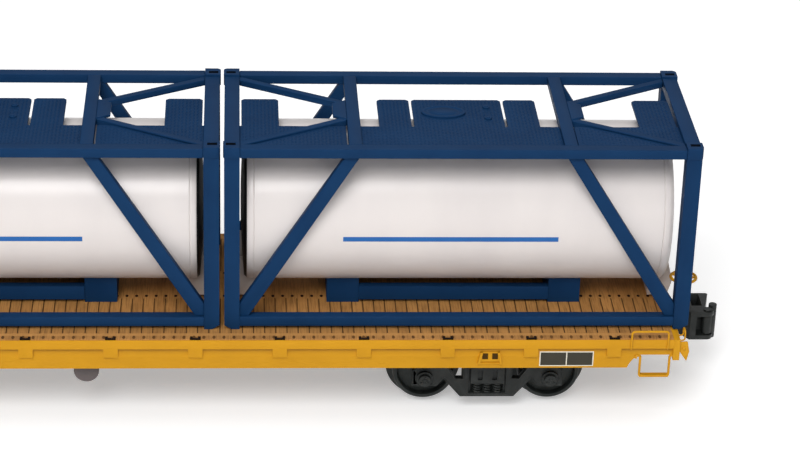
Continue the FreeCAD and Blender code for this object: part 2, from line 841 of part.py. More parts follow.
def make_end_sill():
    """Make the end sill at the +X end, notched over the coupler."""
    top = SILL_TOP
    low = DECK_Z - S.end_sill_depth
    notch = DECK_Z - S.end_notch_depth
    side = SILL_HALF
    ramp = S.end_notch_half_width + S.end_sill_depth - S.end_notch_depth
    right = [(ramp, low), (side, low), (side, top)]
    points = [(-S.end_notch_half_width, notch), (S.end_notch_half_width, notch)] + right + other_half(right)
    return prism("end_sill", "YZ_Plane", points, CAR_HALF - S.end_sill_thickness, S.end_sill_thickness)


def make_underframe():
    """Make the fish-belly centre sill."""
    top = UNDER_BOARDS
    low = DECK_Z - S.centre_sill_depth
    deep = DECK_Z - S.centre_sill_mid_depth
    end_x = CAR_HALF - S.end_sill_thickness - S.end_sill_depth
    belly = S.fish_belly_length / 2
    right = [(belly - S.fish_belly_slope, deep), (belly, low), (end_x, low), (end_x, top)]
    return prism("centre_sill", "XZ_Plane", right + other_half(right), -S.centre_sill_half_width,
                 S.centre_sill_half_width * 2)


def make_body_bolster():
    """Make the body bolsters' tapered wings beside the centre sill."""
    inner = S.centre_sill_half_width
    outer = DECK_HALF
    low = DECK_Z - S.centre_sill_depth
    end_low = UNDER_BOARDS - S.body_bolster_end_depth
    wing_points = [(inner, low), (outer, end_low), (outer, UNDER_BOARDS), (inner, UNDER_BOARDS)]
    wing = prism("bolster_wing", "YZ_Plane", wing_points, TRUCK_X - S.body_bolster_half_width,
                 S.body_bolster_half_width * 2)
    return four_corners("body_bolsters", wing)


def make_kingpins():
    """Make the centre plates and kingpins that the trucks turn on."""
    plate_low = PLATE_TOP + S.pivot_gap
    plate = cylinder("body_plate", S.pivot_plate_radius, DECK_Z - S.centre_sill_depth - plate_low,
                     (TRUCK_X, 0, plate_low))
    pin_low = AXLE_Z
    pin = cylinder("kingpin_bar", S.kingpin_radius, plate_low - pin_low, (TRUCK_X, 0, pin_low))
    return both_ways("kingpins", fused("kingpin", [plate, pin]), (1, 0, 0))


def make_cross_bearers():
    """Make the cross bearers between the centre sill and the side sills."""
    inner = S.centre_sill_half_width
    outer = DECK_HALF
    bars = []
    for index in range(BEARER_COUNT):
        x = POCKET_PITCH * (index * 2 - (BEARER_COUNT - 1))
        bars.append(box(f"bearer_{index}", (S.cross_bearer_width, outer - inner, S.cross_bearer_depth),
                        (x - S.cross_bearer_width / 2, inner, UNDER_BOARDS - S.cross_bearer_depth)))
    return both_ways("cross_bearers", group("bearer_row", bars), (0, 1, 0))


def make_brake_wheel():
    """Make the spoked hand-brake wheel on its staff."""
    x = CAR_HALF + S.brake_wheel_reach
    y = -S.brake_wheel_offset
    z = DECK_Z + S.brake_wheel_rise
    base = (x, y, z - S.brake_wheel_rim)
    disc = cylinder("brake_rim_disc", S.brake_wheel_radius, S.brake_wheel_rim * 2, base)
    opening = cylinder("brake_rim_opening", S.brake_wheel_radius - S.brake_wheel_rim * 2,
                       S.brake_wheel_rim * 2, base)
    rim = cut("brake_rim", disc, opening)
    hub = cylinder("brake_hub", S.brake_hub_radius, S.brake_wheel_rim * 2, base)
    arm = box("spoke_arm", (S.brake_wheel_radius - S.brake_wheel_rim, S.spoke_width, S.spoke_width),
              (0, -S.spoke_width / 2, -S.spoke_width / 2))
    spokes = []
    for index in range(SPOKE_COUNT):
        turn = FreeCAD.Rotation(FreeCAD.Vector(0, 0, 1), 360 / SPOKE_COUNT * index)
        spokes.append(place(group(f"spoke_{index}", [arm]), x, y, z, turn))
    return fused("brake_wheel", [rim, hub] + spokes)


def make_brake_staff():
    """Make the brake staff and the bracket that holds it to the end sill."""
    x = CAR_HALF + S.brake_wheel_reach
    y = -S.brake_wheel_offset
    low = DECK_Z - S.end_notch_depth
    staff = cylinder("brake_staff_bar", S.brake_staff_radius,
                     S.end_notch_depth + S.brake_wheel_rise - S.brake_wheel_rim, (x, y, low))
    bracket = box("staff_bracket", (S.brake_wheel_reach + S.brake_staff_radius * 2, S.brake_staff_radius * 4,
                                    S.brake_staff_radius * 2),
                  (CAR_HALF, y - S.brake_staff_radius * 2, SILL_TOP - S.brake_staff_radius * 4))
    return fused("brake_staff", [staff, bracket])


def wire_loop(name, plane, corners, offset):
    """Run a wire through the corners of a path in one plane."""
    bars = []
    for index, (first, second) in enumerate(zip(corners, corners[1:])):
        bars.append(wire_bar(f"{name}_{index}", first, second, plane, offset))
    return fused(name, bars)


def wire_bar(name, first, second, plane, offset):
    """Make one straight square-section run of wire, overlapping its corners."""
    (x1, z1), (x2, z2) = first, second
    thick = S.wire_radius
    low_x, high_x = (x1, x2) if number(x1) <= number(x2) else (x2, x1)
    low_z, high_z = (z1, z2) if number(z1) <= number(z2) else (z2, z1)
    sides = (high_x - low_x + thick * 2, thick * 2, high_z - low_z + thick * 2)
    if plane == "XZ":
        return box(name, sides, (low_x - thick, offset - thick, low_z - thick))
    return box(name, (sides[1], sides[0], sides[2]), (offset - thick, low_x - thick, low_z - thick))


def make_grab_irons():
    """Make the four corner grab irons on the side sills."""
    right = CAR_HALF - S.grab_start
    left = right - S.grab_width
    high = DECK_Z + S.grab_rise
    low = DECK_Z - S.grab_drop
    corners = [(left, low), (left, high), (right, high), (right, low)]
    loop = wire_loop("grab_iron", "XZ", corners, -(SILL_HALF + S.wire_radius))
    return four_corners("grab_irons", loop)


def make_steps():
    """Make the four stirrup steps under the side sills."""
    right = CAR_HALF - S.step_start
    left = right - S.step_width
    high = DECK_Z - S.sill_end_depth
    low = DECK_Z - S.step_drop
    y = -(SILL_HALF - S.web_inset - S.wire_radius)
    corners = [(left, high), (left, low), (right, low), (right, high)]
    loop = wire_loop("stirrup_loop", "XZ", [(x, z - S.wire_radius) for x, z in corners], y)
    tread = box("stirrup_tread", (S.step_width, S.step_tread, S.wire_radius * 2),
                (left, y - S.wire_radius, low - S.wire_radius * 2))
    return four_corners("stirrup_steps", fused("stirrup", [loop, tread]))


def make_levers():
    """Make the four uncoupling levers at the end sills' corners."""
    lever_y = SILL_HALF - S.lever_thickness * 2
    top = DECK_Z - S.lever_top_drop
    low = DECK_Z - S.lever_drop
    middle = (top + low) / 2
    lever_points = [
        (CAR_HALF, middle),
        (CAR_HALF + S.lever_length - S.lever_thickness, low),
        (CAR_HALF + S.lever_length, middle),
        (CAR_HALF + S.lever_length - S.lever_thickness, top),
        (CAR_HALF, top),
    ]
    lever = prism("lever_plate", "XZ_Plane", lever_points, lever_y, S.lever_thickness)
    return four_corners("levers", lever)


def make_end_grabs():
    """Make the small grabs on the end sills."""
    x = CAR_HALF + S.end_grab_reach
    high = SILL_TOP + S.grab_rise
    low = SILL_TOP - S.wire_radius * 3
    y1 = -(SILL_HALF - S.lever_thickness * 2 - S.wire_radius * 2)
    y2 = y1 + S.end_grab_width
    corners = [(y1, low), (y1, high), (y2, high), (y2, low)]
    loop = wire_loop("end_grab_loop", "YZ", corners, x)
    foot = box("end_grab_foot", (S.end_grab_reach, S.end_grab_width + S.wire_radius * 2, S.wire_radius * 2),
               (CAR_HALF, y1 - S.wire_radius, low - S.wire_radius))
    return four_corners("end_grabs", fused("end_grab", [loop, foot]))


def make_reservoir():
    """Make the air reservoir, lying across the car on the near side."""
    start = S.centre_sill_half_width
    return cylinder("air_reservoir", S.reservoir_radius, S.reservoir_length,
                    (S.reservoir_x, -(start + S.reservoir_length), DECK_Z - S.reservoir_drop), ALONG_Y)


def make_brake_cylinder():
    """Make the brake cylinder, lying along the car on the far side."""
    return cylinder("brake_cylinder", S.cylinder_radius, S.cylinder_length,
                    (-(S.reservoir_x + S.cylinder_length), S.centre_sill_half_width + S.cylinder_radius,
                     DECK_Z - S.reservoir_drop + S.wire_radius), ALONG_X)


def make_brake_valve():
    """Make the brake valve block on the far side."""
    return box("brake_valve", (S.valve_length, S.valve_width, S.valve_height),
               (S.reservoir_x - S.valve_length, S.centre_sill_half_width, DECK_Z - S.reservoir_drop))


# Framed tank containers

def make_posts():
    """Make the four corner posts with their chamfered feet and rounded castings."""
    top = DECK_Z + S.container_height
    casting_low = top - S.casting_height
    post_points = [
        (POST_INNER_X, DECK_Z),
        (POST_INNER_X + S.foot_side, DECK_Z),
        (POST_OUTER_X, DECK_Z + S.foot_rise),
        (POST_OUTER_X, casting_low),
        (POST_INNER_X, casting_low),
    ]
    post = prism("post_bar", "XZ_Plane", post_points, POST_INNER_Y, S.post_side)
    casting_points = [
        (POST_INNER_X, -SIDE_Y),
        (END_X - S.casting_corner, -SIDE_Y, S.casting_corner),
        (END_X, -(SIDE_Y - S.casting_corner)),
        (END_X, -POST_INNER_Y),
        (POST_INNER_X, -POST_INNER_Y),
    ]
    casting = prism("post_casting", "XY_Plane", casting_points, casting_low, S.casting_height)
    slot = centred_box("post_slot", (S.slot_length, S.slot_width, S.slot_depth + S.overrun),
                       (END_X - S.slot_end_inset, -(SIDE_Y - S.slot_side_inset), top - S.slot_depth))
    return four_corners("corner_posts", cut("corner_post", fused("post_solid", [post, casting]), slot))


def make_rails():
    """Make the long side rails, the end rails and the two top cross members."""
    side_rails = []
    for name, low in (("bottom_rail", BOTTOM_RAIL_TOP - S.rail_height), ("top_rail", TOP_RAIL_LOW)):
        side_rails.append(box(name, (POST_INNER_X * 2, S.rail_width, S.rail_height),
                              (-POST_INNER_X, -POST_OUTER_Y, low)))
    sides = both_ways("side_rails", group("side_rail_pair", side_rails), (0, 1, 0))
    end = box("end_rail", (S.post_side, POST_INNER_Y * 2, S.rail_height),
              (POST_INNER_X, -POST_INNER_Y, TOP_RAIL_LOW))
    cross = centred_box("cross_member", (S.cross_width, RAIL_INNER_Y * 2, S.cross_height),
                        (CROSS_X, 0, TOP_RAIL_TOP - S.cross_height))
    ends = both_ways("end_rails", group("end_rail_pair", [end, cross]), (1, 0, 0))
    return group("frame_rails", [sides, ends])


def make_side_braces():
    """Make the four diagonal braces in the sides."""
    points = [
        (POST_INNER_X, BOTTOM_RAIL_TOP),
        (POST_INNER_X, BOTTOM_RAIL_TOP + S.brace_foot_rise),
        (END_X - S.brace_head_start, TOP_RAIL_LOW),
        (END_X - S.brace_head_end, TOP_RAIL_LOW),
        (POST_INNER_X - S.brace_foot_run, BOTTOM_RAIL_TOP),
    ]
    brace = prism("side_brace", "XZ_Plane", points, POST_OUTER_Y - S.brace_set_back - S.brace_depth,
                  S.brace_depth)
    return four_corners("side_braces", brace)


def make_top_braces():
    """Make the K-bracing in the top's end bays: two arms and a gusset plate in each bay."""
    root_x = CROSS_X + S.cross_width / 2
    gusset_points = [
        (root_x, -S.gusset_root_half),
        (root_x + S.gusset_length, -S.gusset_nose_half),
        (root_x + S.gusset_length, S.gusset_nose_half),
        (root_x, S.gusset_root_half),
    ]
    gusset = prism("gusset_plate", "XY_Plane", gusset_points, TOP_RAIL_TOP - S.gusset_thickness,
                   S.gusset_thickness)
    arm_points = [
        (root_x, -S.gusset_root_half),
        (POST_INNER_X, -RAIL_INNER_Y),
        (POST_INNER_X, -(RAIL_INNER_Y - S.top_brace_width)),
        (root_x, -(S.gusset_root_half - S.top_brace_width)),
    ]
    arm_low = TOP_RAIL_TOP - S.top_brace_drop - S.top_brace_height
    arm = prism("top_brace_arm", "XY_Plane", arm_points, arm_low, S.top_brace_height)
    over_walkway = box("walkway_clearance", (POST_INNER_X - root_x, S.walk_near_offset - S.walk_far_offset,
                                             DECK_Z + S.walk_top_rise - arm_low + S.overrun),
                       (root_x, -S.walk_near_offset, arm_low - S.overrun))
    arms = [cut("near_arm", arm, over_walkway), mirrored("far_arm", arm, (0, 1, 0))]
    bay = fused("top_brace_bay", [gusset] + arms)
    return both_ways("top_braces", bay, (1, 0, 0))


def make_tank():
    """Turn the tank shell with its ring lines and dished heads."""
    end = TANK_END
    ring = end - S.tank_ring_inset
    edge = S.tank_head_edge
    dish_radius = S.tank_radius - edge
    dish_depth = S.tank_head_depth - edge
    sphere_radius = (dish_radius * dish_radius / dish_depth + dish_depth) / 2
    points = [
        (0, 0),
        (end + S.tank_head_depth, 0, sphere_radius),
        (end + edge, dish_radius),
        (end, S.tank_radius),
        (ring + S.tank_ring_groove, S.tank_radius),
        (ring, S.tank_radius - S.tank_ring_groove),
        (ring - S.tank_ring_groove, S.tank_radius),
        (0, S.tank_radius),
    ]
    body = lathe("tank_half", points, "X_Axis")
    both = body.newObject("PartDesign::Mirrored", "tank_both")
    both.Originals = [body.Tip]
    both.MirrorPlane = (origin_part(body, "YZ_Plane"), [""])
    body.Tip = both
    return place(body, 0, 0, DECK_Z + S.tank_axis_rise)


def make_saddles(tank):
    """Make the two saddle blocks under the tank, the beams between them and the rests under its ends."""
    x = END_X - S.saddle_inset
    block = centred_box("saddle_block", (S.saddle_width, S.saddle_half_span * 2, S.tank_axis_rise),
                        (x, 0, DECK_Z))
    bed = cylinder("saddle_bed", S.tank_radius, S.saddle_width + S.overrun * 2,
                   (x - S.saddle_width / 2 - S.overrun, 0, DECK_Z + S.tank_axis_rise), ALONG_X)
    saddle = cut("saddle", block, bed)
    span = (x - S.saddle_width / 2) * 2
    beam = centred_box("saddle_beam", (span, S.beam_width, S.beam_top_rise - S.beam_bottom_rise),
                       (0, -(S.beam_offset + S.beam_width / 2), DECK_Z + S.beam_bottom_rise))
    rest_inner = TANK_END - S.rest_under_tank
    rest_points = [
        (rest_inner, DECK_Z + S.rest_bottom_rise),
        (TANK_END + S.rest_foot_reach, DECK_Z + S.rest_bottom_rise),
        (TANK_END + S.rest_reach, DECK_Z + S.rest_reach_rise),
        (TANK_END + S.rest_top_reach, DECK_Z + S.rest_top_rise),
        (rest_inner, DECK_Z + S.rest_top_rise),
    ]
    block = prism("end_rest_block", "XZ_Plane", rest_points, -S.rest_half_width, S.rest_half_width * 2)
    rest = cut("end_rest", block, tank)
    ends = both_ways("saddle_ends", group("saddle_and_rest", [saddle, rest]), (1, 0, 0))
    return group("saddles", [ends, both_ways("beam_pair", beam, (0, 1, 0))])


def make_walkway():
    """Make the walkway's three plates along the near side, with their side panels."""
    low = DECK_Z + S.walk_top_rise - S.walk_thickness
    near = -S.walk_near_offset
    far = -S.walk_far_offset
    middle_x = CROSS_X - S.cross_width / 2
    bay_x = CROSS_X + S.cross_width / 2 + S.walk_slit
    manhole_half = S.manhole_panel_width / 2
    mid_start = manhole_half + S.panel_gap
    panel_end = END_X - S.end_panel_inset
    right = [(middle_x, near), (middle_x, far)]
    right += panel_outline(mid_start, mid_start + S.mid_panel_width, far)
    right += panel_outline(-manhole_half, manhole_half, far)[:3]
    middle = prism("walkway_middle", "XY_Plane", right + other_half(right), low, S.walk_thickness)
    bay_points = [(bay_x, near), (POST_INNER_X, near), (POST_INNER_X, far)]
    bay_points += panel_outline(panel_end - S.end_panel_width, panel_end, far) + [(bay_x, far)]
    bay = prism("walkway_bay", "XY_Plane", bay_points, low, S.walk_thickness)
    return group("walkway", [middle, both_ways("walkway_bays", bay, (1, 0, 0))])


def panel_outline(start, end, far):
    """Give the corners of one side panel with cut corners, from its outer end round to its inner one."""
    reach = S.panel_far_offset
    notch = S.panel_corner
    return [(end, far), (end, reach - notch), (end - notch, reach),
            (start + notch, reach), (start, reach - notch), (start, far)]


def make_manhole():
    """Make the oval manhole lid and the two valve caps on the middle panel."""
    top = DECK_Z + S.walk_top_rise
    middle_y = (S.panel_far_offset - S.walk_far_offset) / 2
    lid = DOC.addObject("Part::Ellipse", "manhole_edge")
    bind(lid, "MajorRadius", S.manhole_half_length)
    bind(lid, "MinorRadius", S.manhole_half_width)
    raised = DOC.addObject("Part::Extrusion", "manhole_lid")
    raised.Base = lid
    raised.DirMode = "Custom"
    raised.Dir = FreeCAD.Vector(0, 0, 1)
    raised.Solid = True
    bind(raised, "LengthFwd", S.manhole_height)
    place(lid, -S.manhole_offset, middle_y, top)
    x = S.manhole_panel_width / 2 - S.valve_cap_inset
    caps = []
    for index, side in enumerate((-1, 1)):
        caps.append(cylinder(f"valve_cap_{index}", S.valve_cap_radius, S.manhole_height,
                             (x, middle_y + S.valve_cap_offset * side, top)))
    return group("manhole", [raised] + caps)


HALF_TURN = FreeCAD.Rotation(FreeCAD.Vector(0, 0, 1), 180)


def place_copy(label, source, x=0, turn=None):
    """Set a copy of a sub-assembly's piece at its place along the car."""
    return node(label, place(group(f"{label}_copy", [source]), x, turn=turn))


def build_trucks():
    """Build both trucks, the second one turned to face the other way."""
    frame_near = make_side_frame()
    frame_far = mirrored("side_frame_far", frame_near, (0, 1, 0))
    pieces = {
        "side_frame_near": frame_near,
        "side_frame_far": frame_far,
        "truck_bolster": make_truck_bolster(),
        "truck_springs": make_springs(),
        "coupler": make_coupler(),
        "knuckle": make_knuckle(),
    }
    wheelset = place(make_wheelset(), 0, 0, AXLE_Z)
    for name, side, turn in (("a", 1, None), ("b", -1, HALF_TURN)):
        for label, piece in pieces.items():
            place_copy(f"{label}_{name}", piece, TRUCK_X * side, turn)
        for index, step in (("outer", 1), ("inner", -1)):
            place_copy(f"wheelset_{name}_{index}", wheelset, (TRUCK_X + S.wheelbase / 2 * step) * side)


def build_car():
    """Build the flatcar's body."""
    strips = both_ways("edge_strips", make_edge_strip(), (0, 1, 0))
    node("deck_boards", group("deck_and_strips", [make_deck(), strips]))
    sill = make_side_sill()
    node("side_sill_near", sill)
    node("side_sill_far", mirrored("side_sill_mirror", sill, (0, 1, 0)))
    end_sill = make_end_sill()
    node("end_sill_a", end_sill)
    node("end_sill_b", mirrored("end_sill_mirror", end_sill, (1, 0, 0)))
    node("centre_sill", make_underframe())
    node("body_bolsters", make_body_bolster())
    node("kingpins", make_kingpins())
    node("cross_bearers", make_cross_bearers())
    node("brake_wheel", make_brake_wheel())
    node("brake_staff", make_brake_staff())
    node("grab_irons", make_grab_irons())
    node("stirrup_steps", make_steps())
    node("uncoupling_levers", make_levers())
    node("end_grabs", make_end_grabs())
    node("air_reservoir", make_reservoir())
    node("brake_cylinder", make_brake_cylinder())
    node("brake_valve", make_brake_valve())


def build_containers():
    """Build the three tank containers."""
    tank = make_tank()
    pieces = {
        "corner_posts": make_posts(),
        "frame_rails": make_rails(),
        "side_braces": make_side_braces(),
        "top_braces": make_top_braces(),
        "tank_shell": tank,
        "tank_saddles": make_saddles(tank),
        "walkway": make_walkway(),
        "manhole": make_manhole(),
    }
    for index in range(CONTAINER_COUNT):
        step = index - (CONTAINER_COUNT - 1) / 2
        for label, piece in pieces.items():
            place_copy(f"{label}_{index + 1}", piece, CONTAINER_PITCH * step)


def check_and_export():
    """Stop on any failed object, then write each sub-part's file."""
    DOC.recompute()
    failed = [item.Name for item in DOC.Objects if "Invalid" in item.State or "Error" in item.State]
    if failed:
        raise RuntimeError(f"failed objects: {failed}")
    os.makedirs("parts", exist_ok=True)
    for item in NODES:
        shape = item.Shape
        if shape.isNull() or not shape.isValid():
            raise RuntimeError(f"bad shape: {item.Label}")
        shape.exportStep(f"parts/{item.Label}.step")
    print("nodes", len(NODES))


build_trucks()
build_car()
build_containers()
check_and_export()
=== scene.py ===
"""Looks of the model railway flatcar with three tank containers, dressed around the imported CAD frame."""
import logging
import math
from collections.abc import Callable
from dataclasses import dataclass
from enum import Enum

import bmesh
import bpy
from mathutils import Matrix, Vector


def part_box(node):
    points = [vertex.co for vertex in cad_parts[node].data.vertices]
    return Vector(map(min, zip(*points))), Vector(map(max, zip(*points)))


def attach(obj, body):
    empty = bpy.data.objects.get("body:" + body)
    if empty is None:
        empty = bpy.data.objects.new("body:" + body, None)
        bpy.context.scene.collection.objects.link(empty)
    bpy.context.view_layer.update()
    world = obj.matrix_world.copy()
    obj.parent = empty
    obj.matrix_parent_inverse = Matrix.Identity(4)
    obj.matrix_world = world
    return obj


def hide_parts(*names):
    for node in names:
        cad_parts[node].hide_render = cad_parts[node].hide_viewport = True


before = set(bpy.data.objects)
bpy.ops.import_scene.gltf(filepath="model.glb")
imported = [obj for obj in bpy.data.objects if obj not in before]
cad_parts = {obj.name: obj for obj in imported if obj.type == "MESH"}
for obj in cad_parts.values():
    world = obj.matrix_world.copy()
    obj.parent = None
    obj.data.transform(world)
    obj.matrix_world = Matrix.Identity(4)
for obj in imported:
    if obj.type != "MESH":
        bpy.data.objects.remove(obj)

LOG = logging.getLogger("flatcar")
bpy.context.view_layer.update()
MM = 0.001
TURN = 2 * math.pi
WELD = 0.001 * MM
Point = tuple[float, float, float]
Flat = tuple[float, float]
Colour = tuple[float, float, float]
Outline = list[Flat] | tuple[Flat, ...]
Mesh = bpy.types.Mesh
Socket = bpy.types.NodeSocket
TRUCKS = ("a", "b")
AXLES = ("outer", "inner")
CONTAINERS = (1, 2, 3)
CORNERS = ((1, -1), (1, 1), (-1, -1), (-1, 1))


def linear(red: int, green: int, blue: int) -> Colour:
    """Turn a screen colour into the linear values that a shader takes.

    Args:
        red, green, blue: The colour as shown on a screen, from 0 to 255.

    Returns:
        The three linear values, from 0 to 1, by the curve of sRGB screens.
    """
    def one(value: int) -> float:
        """Turn one of the three."""
        share = value / 255
        return share / 12.92 if share <= 0.04045 else ((share + 0.055) / 1.055) ** 2.4
    return one(red), one(green), one(blue)


def extent(node: str) -> tuple[Vector, Vector, Vector]:
    """Give a CAD node's lowest corner, highest corner and middle, in metres."""
    low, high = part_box(node)
    return low, high, (low + high) / 2


class Nodes:
    """A node tree, with short ways to add nodes and join them."""

    def __init__(self, tree: bpy.types.NodeTree) -> None:
        """Work on this tree."""
        self.tree = tree

    def put(self, value: object, socket: Socket) -> None:
        """Link a socket to an input, or set the input to a plain value.

        Args:
            value: A socket, number, vector or colour.
            socket: The input.
        """
        if isinstance(value, Socket):
            self.tree.links.new(value, socket)
        elif isinstance(value, tuple) and socket.type == "RGBA":
            socket.default_value = (*value, 1)
        else:
            socket.default_value = value

    def add(self, kind: str, operation: str | None = None, **inputs: object) -> bpy.types.Node:
        """Add a node and set or link its inputs.

        Args:
            kind: The node's type name.
            operation: The node's operation, where it has one.
            **inputs: Values or sockets by name, with underscores for spaces, or by number after "at".

        Returns:
            The new node.
        """
        node = self.tree.nodes.new(kind)
        if operation:
            node.operation = operation
        for key, value in inputs.items():
            number = key.removeprefix("at")
            self.put(value, node.inputs[int(number) if number.isdigit() else key.replace("_", " ")])
        return node

    def maths(self, operation: str, first: object, second: object = 0.0) -> Socket:
        """Add one sum on two values or sockets and give its result."""
        return self.add("ShaderNodeMath", operation, at0=first, at1=second).outputs["Value"]


class Shader(Nodes):
    """A material with a Principled surface, which reads its place on the object."""

    def __init__(self, name: str, roughness: float, specular: float, metallic: float = 0.0) -> None:
        """Start the material.

        Args:
            name: What the material covers.
            roughness: The surface's roughness, from 0 to 1.
            specular: The surface's specular level.
            metallic: 1 for bare metal, 0 for paint and plastic.
        """
        self.material = bpy.data.materials.new(f"look_{name}")
        self.material.use_nodes = True
        super().__init__(self.material.node_tree)
        self.surface = self.tree.nodes["Principled BSDF"]
        levels = {"Roughness": roughness, "Specular IOR Level": specular, "Metallic": metallic}
        for label, value in levels.items():
            self.surface.inputs[label].default_value = value
        self.place = self.add("ShaderNodeTexCoord").outputs["Object"]

    def noise(self, size: float, detail: float, stretch: Point = (1, 1, 1)) -> Socket:
        """Add a noise whose features are about this size, in metres, closer along each stretched axis."""
        place = self.add("ShaderNodeMapping", Vector=self.place, Scale=stretch).outputs["Vector"]
        return self.add("ShaderNodeTexNoise", Vector=place, Scale=1 / size, Detail=detail).outputs["Fac"]

    def ramp(self, value: Socket, spread: Flat) -> Socket:
        """Spread the part of a value between two limits over 0 to 1."""
        low, high = spread
        return self.add("ShaderNodeMapRange", Value=value, From_Min=low, From_Max=high).outputs["Result"]

    def blend(self, share: object, first: object, second: object) -> Socket:
        """Mix two colours.

        Args:
            share: How much of the second colour is in the mix, from 0 to 1.
            first, second: The colours.

        Returns:
            The mixed colour.
        """
        node = self.add("ShaderNodeMix")
        node.data_type = "RGBA"
        for index, value in ((0, share), (6, first), (7, second)):
            self.put(value, node.inputs[index])
        return node.outputs[2]

    def colour(self, value: object) -> None:
        """Use a socket or a plain colour as the surface's colour."""
        self.put(value, self.surface.inputs["Base Color"])

    def bump(self, height: Socket, depth: float) -> None:
        """Raise the surface's look by a height, in metres at most."""
        node = self.add("ShaderNodeBump", Height=height, Distance=depth)
        self.put(node.outputs["Normal"], self.surface.inputs["Normal"])


@dataclass(frozen=True)
class SatinPaint:
    """Smooth model paint with soft patches of two close colours and a fine grain."""

    name: str
    slot: str
    base: Colour
    shade: Colour
    roughness: float = 0.5
    specular: float = 0.35
    metallic: float = 0.0
    coat: float = 0.0
    coat_roughness: float = 0.2
    patch: float = 9 * MM
    patch_detail: float = 4.0
    patch_stretch: Point = (1, 1, 1)
    patch_spread: Flat = (0.35, 0.75)
    grain: float = 0.35 * MM
    grain_detail: float = 1.0
    grain_depth: float = 0.02 * MM

    def build(self) -> bpy.types.Material:
        """Make the material.

        Returns:
            The material.
        """
        shader = Shader(self.name, self.roughness, self.specular, self.metallic)
        noise = shader.noise(self.patch, self.patch_detail, self.patch_stretch)
        patches = shader.ramp(noise, self.patch_spread)
        shader.colour(self.over(shader, shader.blend(patches, self.base, self.shade)))
        if self.coat:
            shader.surface.inputs["Coat Weight"].default_value = self.coat
            shader.surface.inputs["Coat Roughness"].default_value = self.coat_roughness
        shader.bump(shader.noise(self.grain, self.grain_detail), self.grain_depth)
        return shader.material

    def over(self, shader: Shader, paint: Socket) -> Socket:
        """Give the colour with what lies over the paint, which is nothing here."""
        return paint


@dataclass(frozen=True)
class SillPaint(SatinPaint):
    """The car's paint, with painted shade on the side sills' webs below the flange."""

    roughness: float = 0.45
    specular: float = 0.15
    # Painted shade: a dark brown that stands in for the flange's shadow on the web
    painted_shade: Colour = linear(120, 82, 36)
    painted_shade_share: float = 0.75
    painted_shade_rise: Flat = (21.6 * MM, 24.3 * MM)
    web_y: float = 31.05 * MM

    def over(self, shader: Shader, paint: Socket) -> Socket:
        """Paint shade on the webs, darkest just under the flange.

        Args:
            shader: The material in work.
            paint: The paint's colour.

        Returns:
            The colour with the painted shade.
        """
        # Painted shade, darker towards the flange's underside, only on the web's outer face
        parts = shader.add("ShaderNodeSeparateXYZ", Vector=shader.place).outputs
        on_web = shader.maths("LESS_THAN", shader.maths("ABSOLUTE", parts["Y"]), self.web_y)
        below = shader.maths("LESS_THAN", parts["Z"], self.painted_shade_rise[1])
        rise = shader.ramp(parts["Z"], self.painted_shade_rise)
        thick = shader.maths("MULTIPLY", shader.maths("MULTIPLY", rise, rise), self.painted_shade_share)
        share = shader.maths("MULTIPLY", shader.maths("MULTIPLY", on_web, below), thick)
        return shader.blend(share, paint, self.painted_shade)


@dataclass(frozen=True)
class TankEnamel(SatinPaint):
    """Glossy off-white paint with a faint cloud along the tank."""

    roughness: float = 0.34
    specular: float = 0.4
    coat: float = 0.15
    patch: float = 16 * MM
    patch_detail: float = 3.0
    patch_stretch: Point = (1, 0.4, 0.4)
    patch_spread: Flat = (0.4, 0.8)
    grain: float = 0.5 * MM
    grain_depth: float = 0.008 * MM


@dataclass(frozen=True)
class CastBlack(SatinPaint):
    """Blackened casting with a coarser grain and dust in its lighter patches."""

    specular: float = 0.25
    patch: float = 3 * MM
    patch_detail: float = 5.0
    patch_spread: Flat = (0.45, 0.8)
    grain: float = 0.3 * MM
    grain_detail: float = 2.0
    grain_depth: float = 0.04 * MM


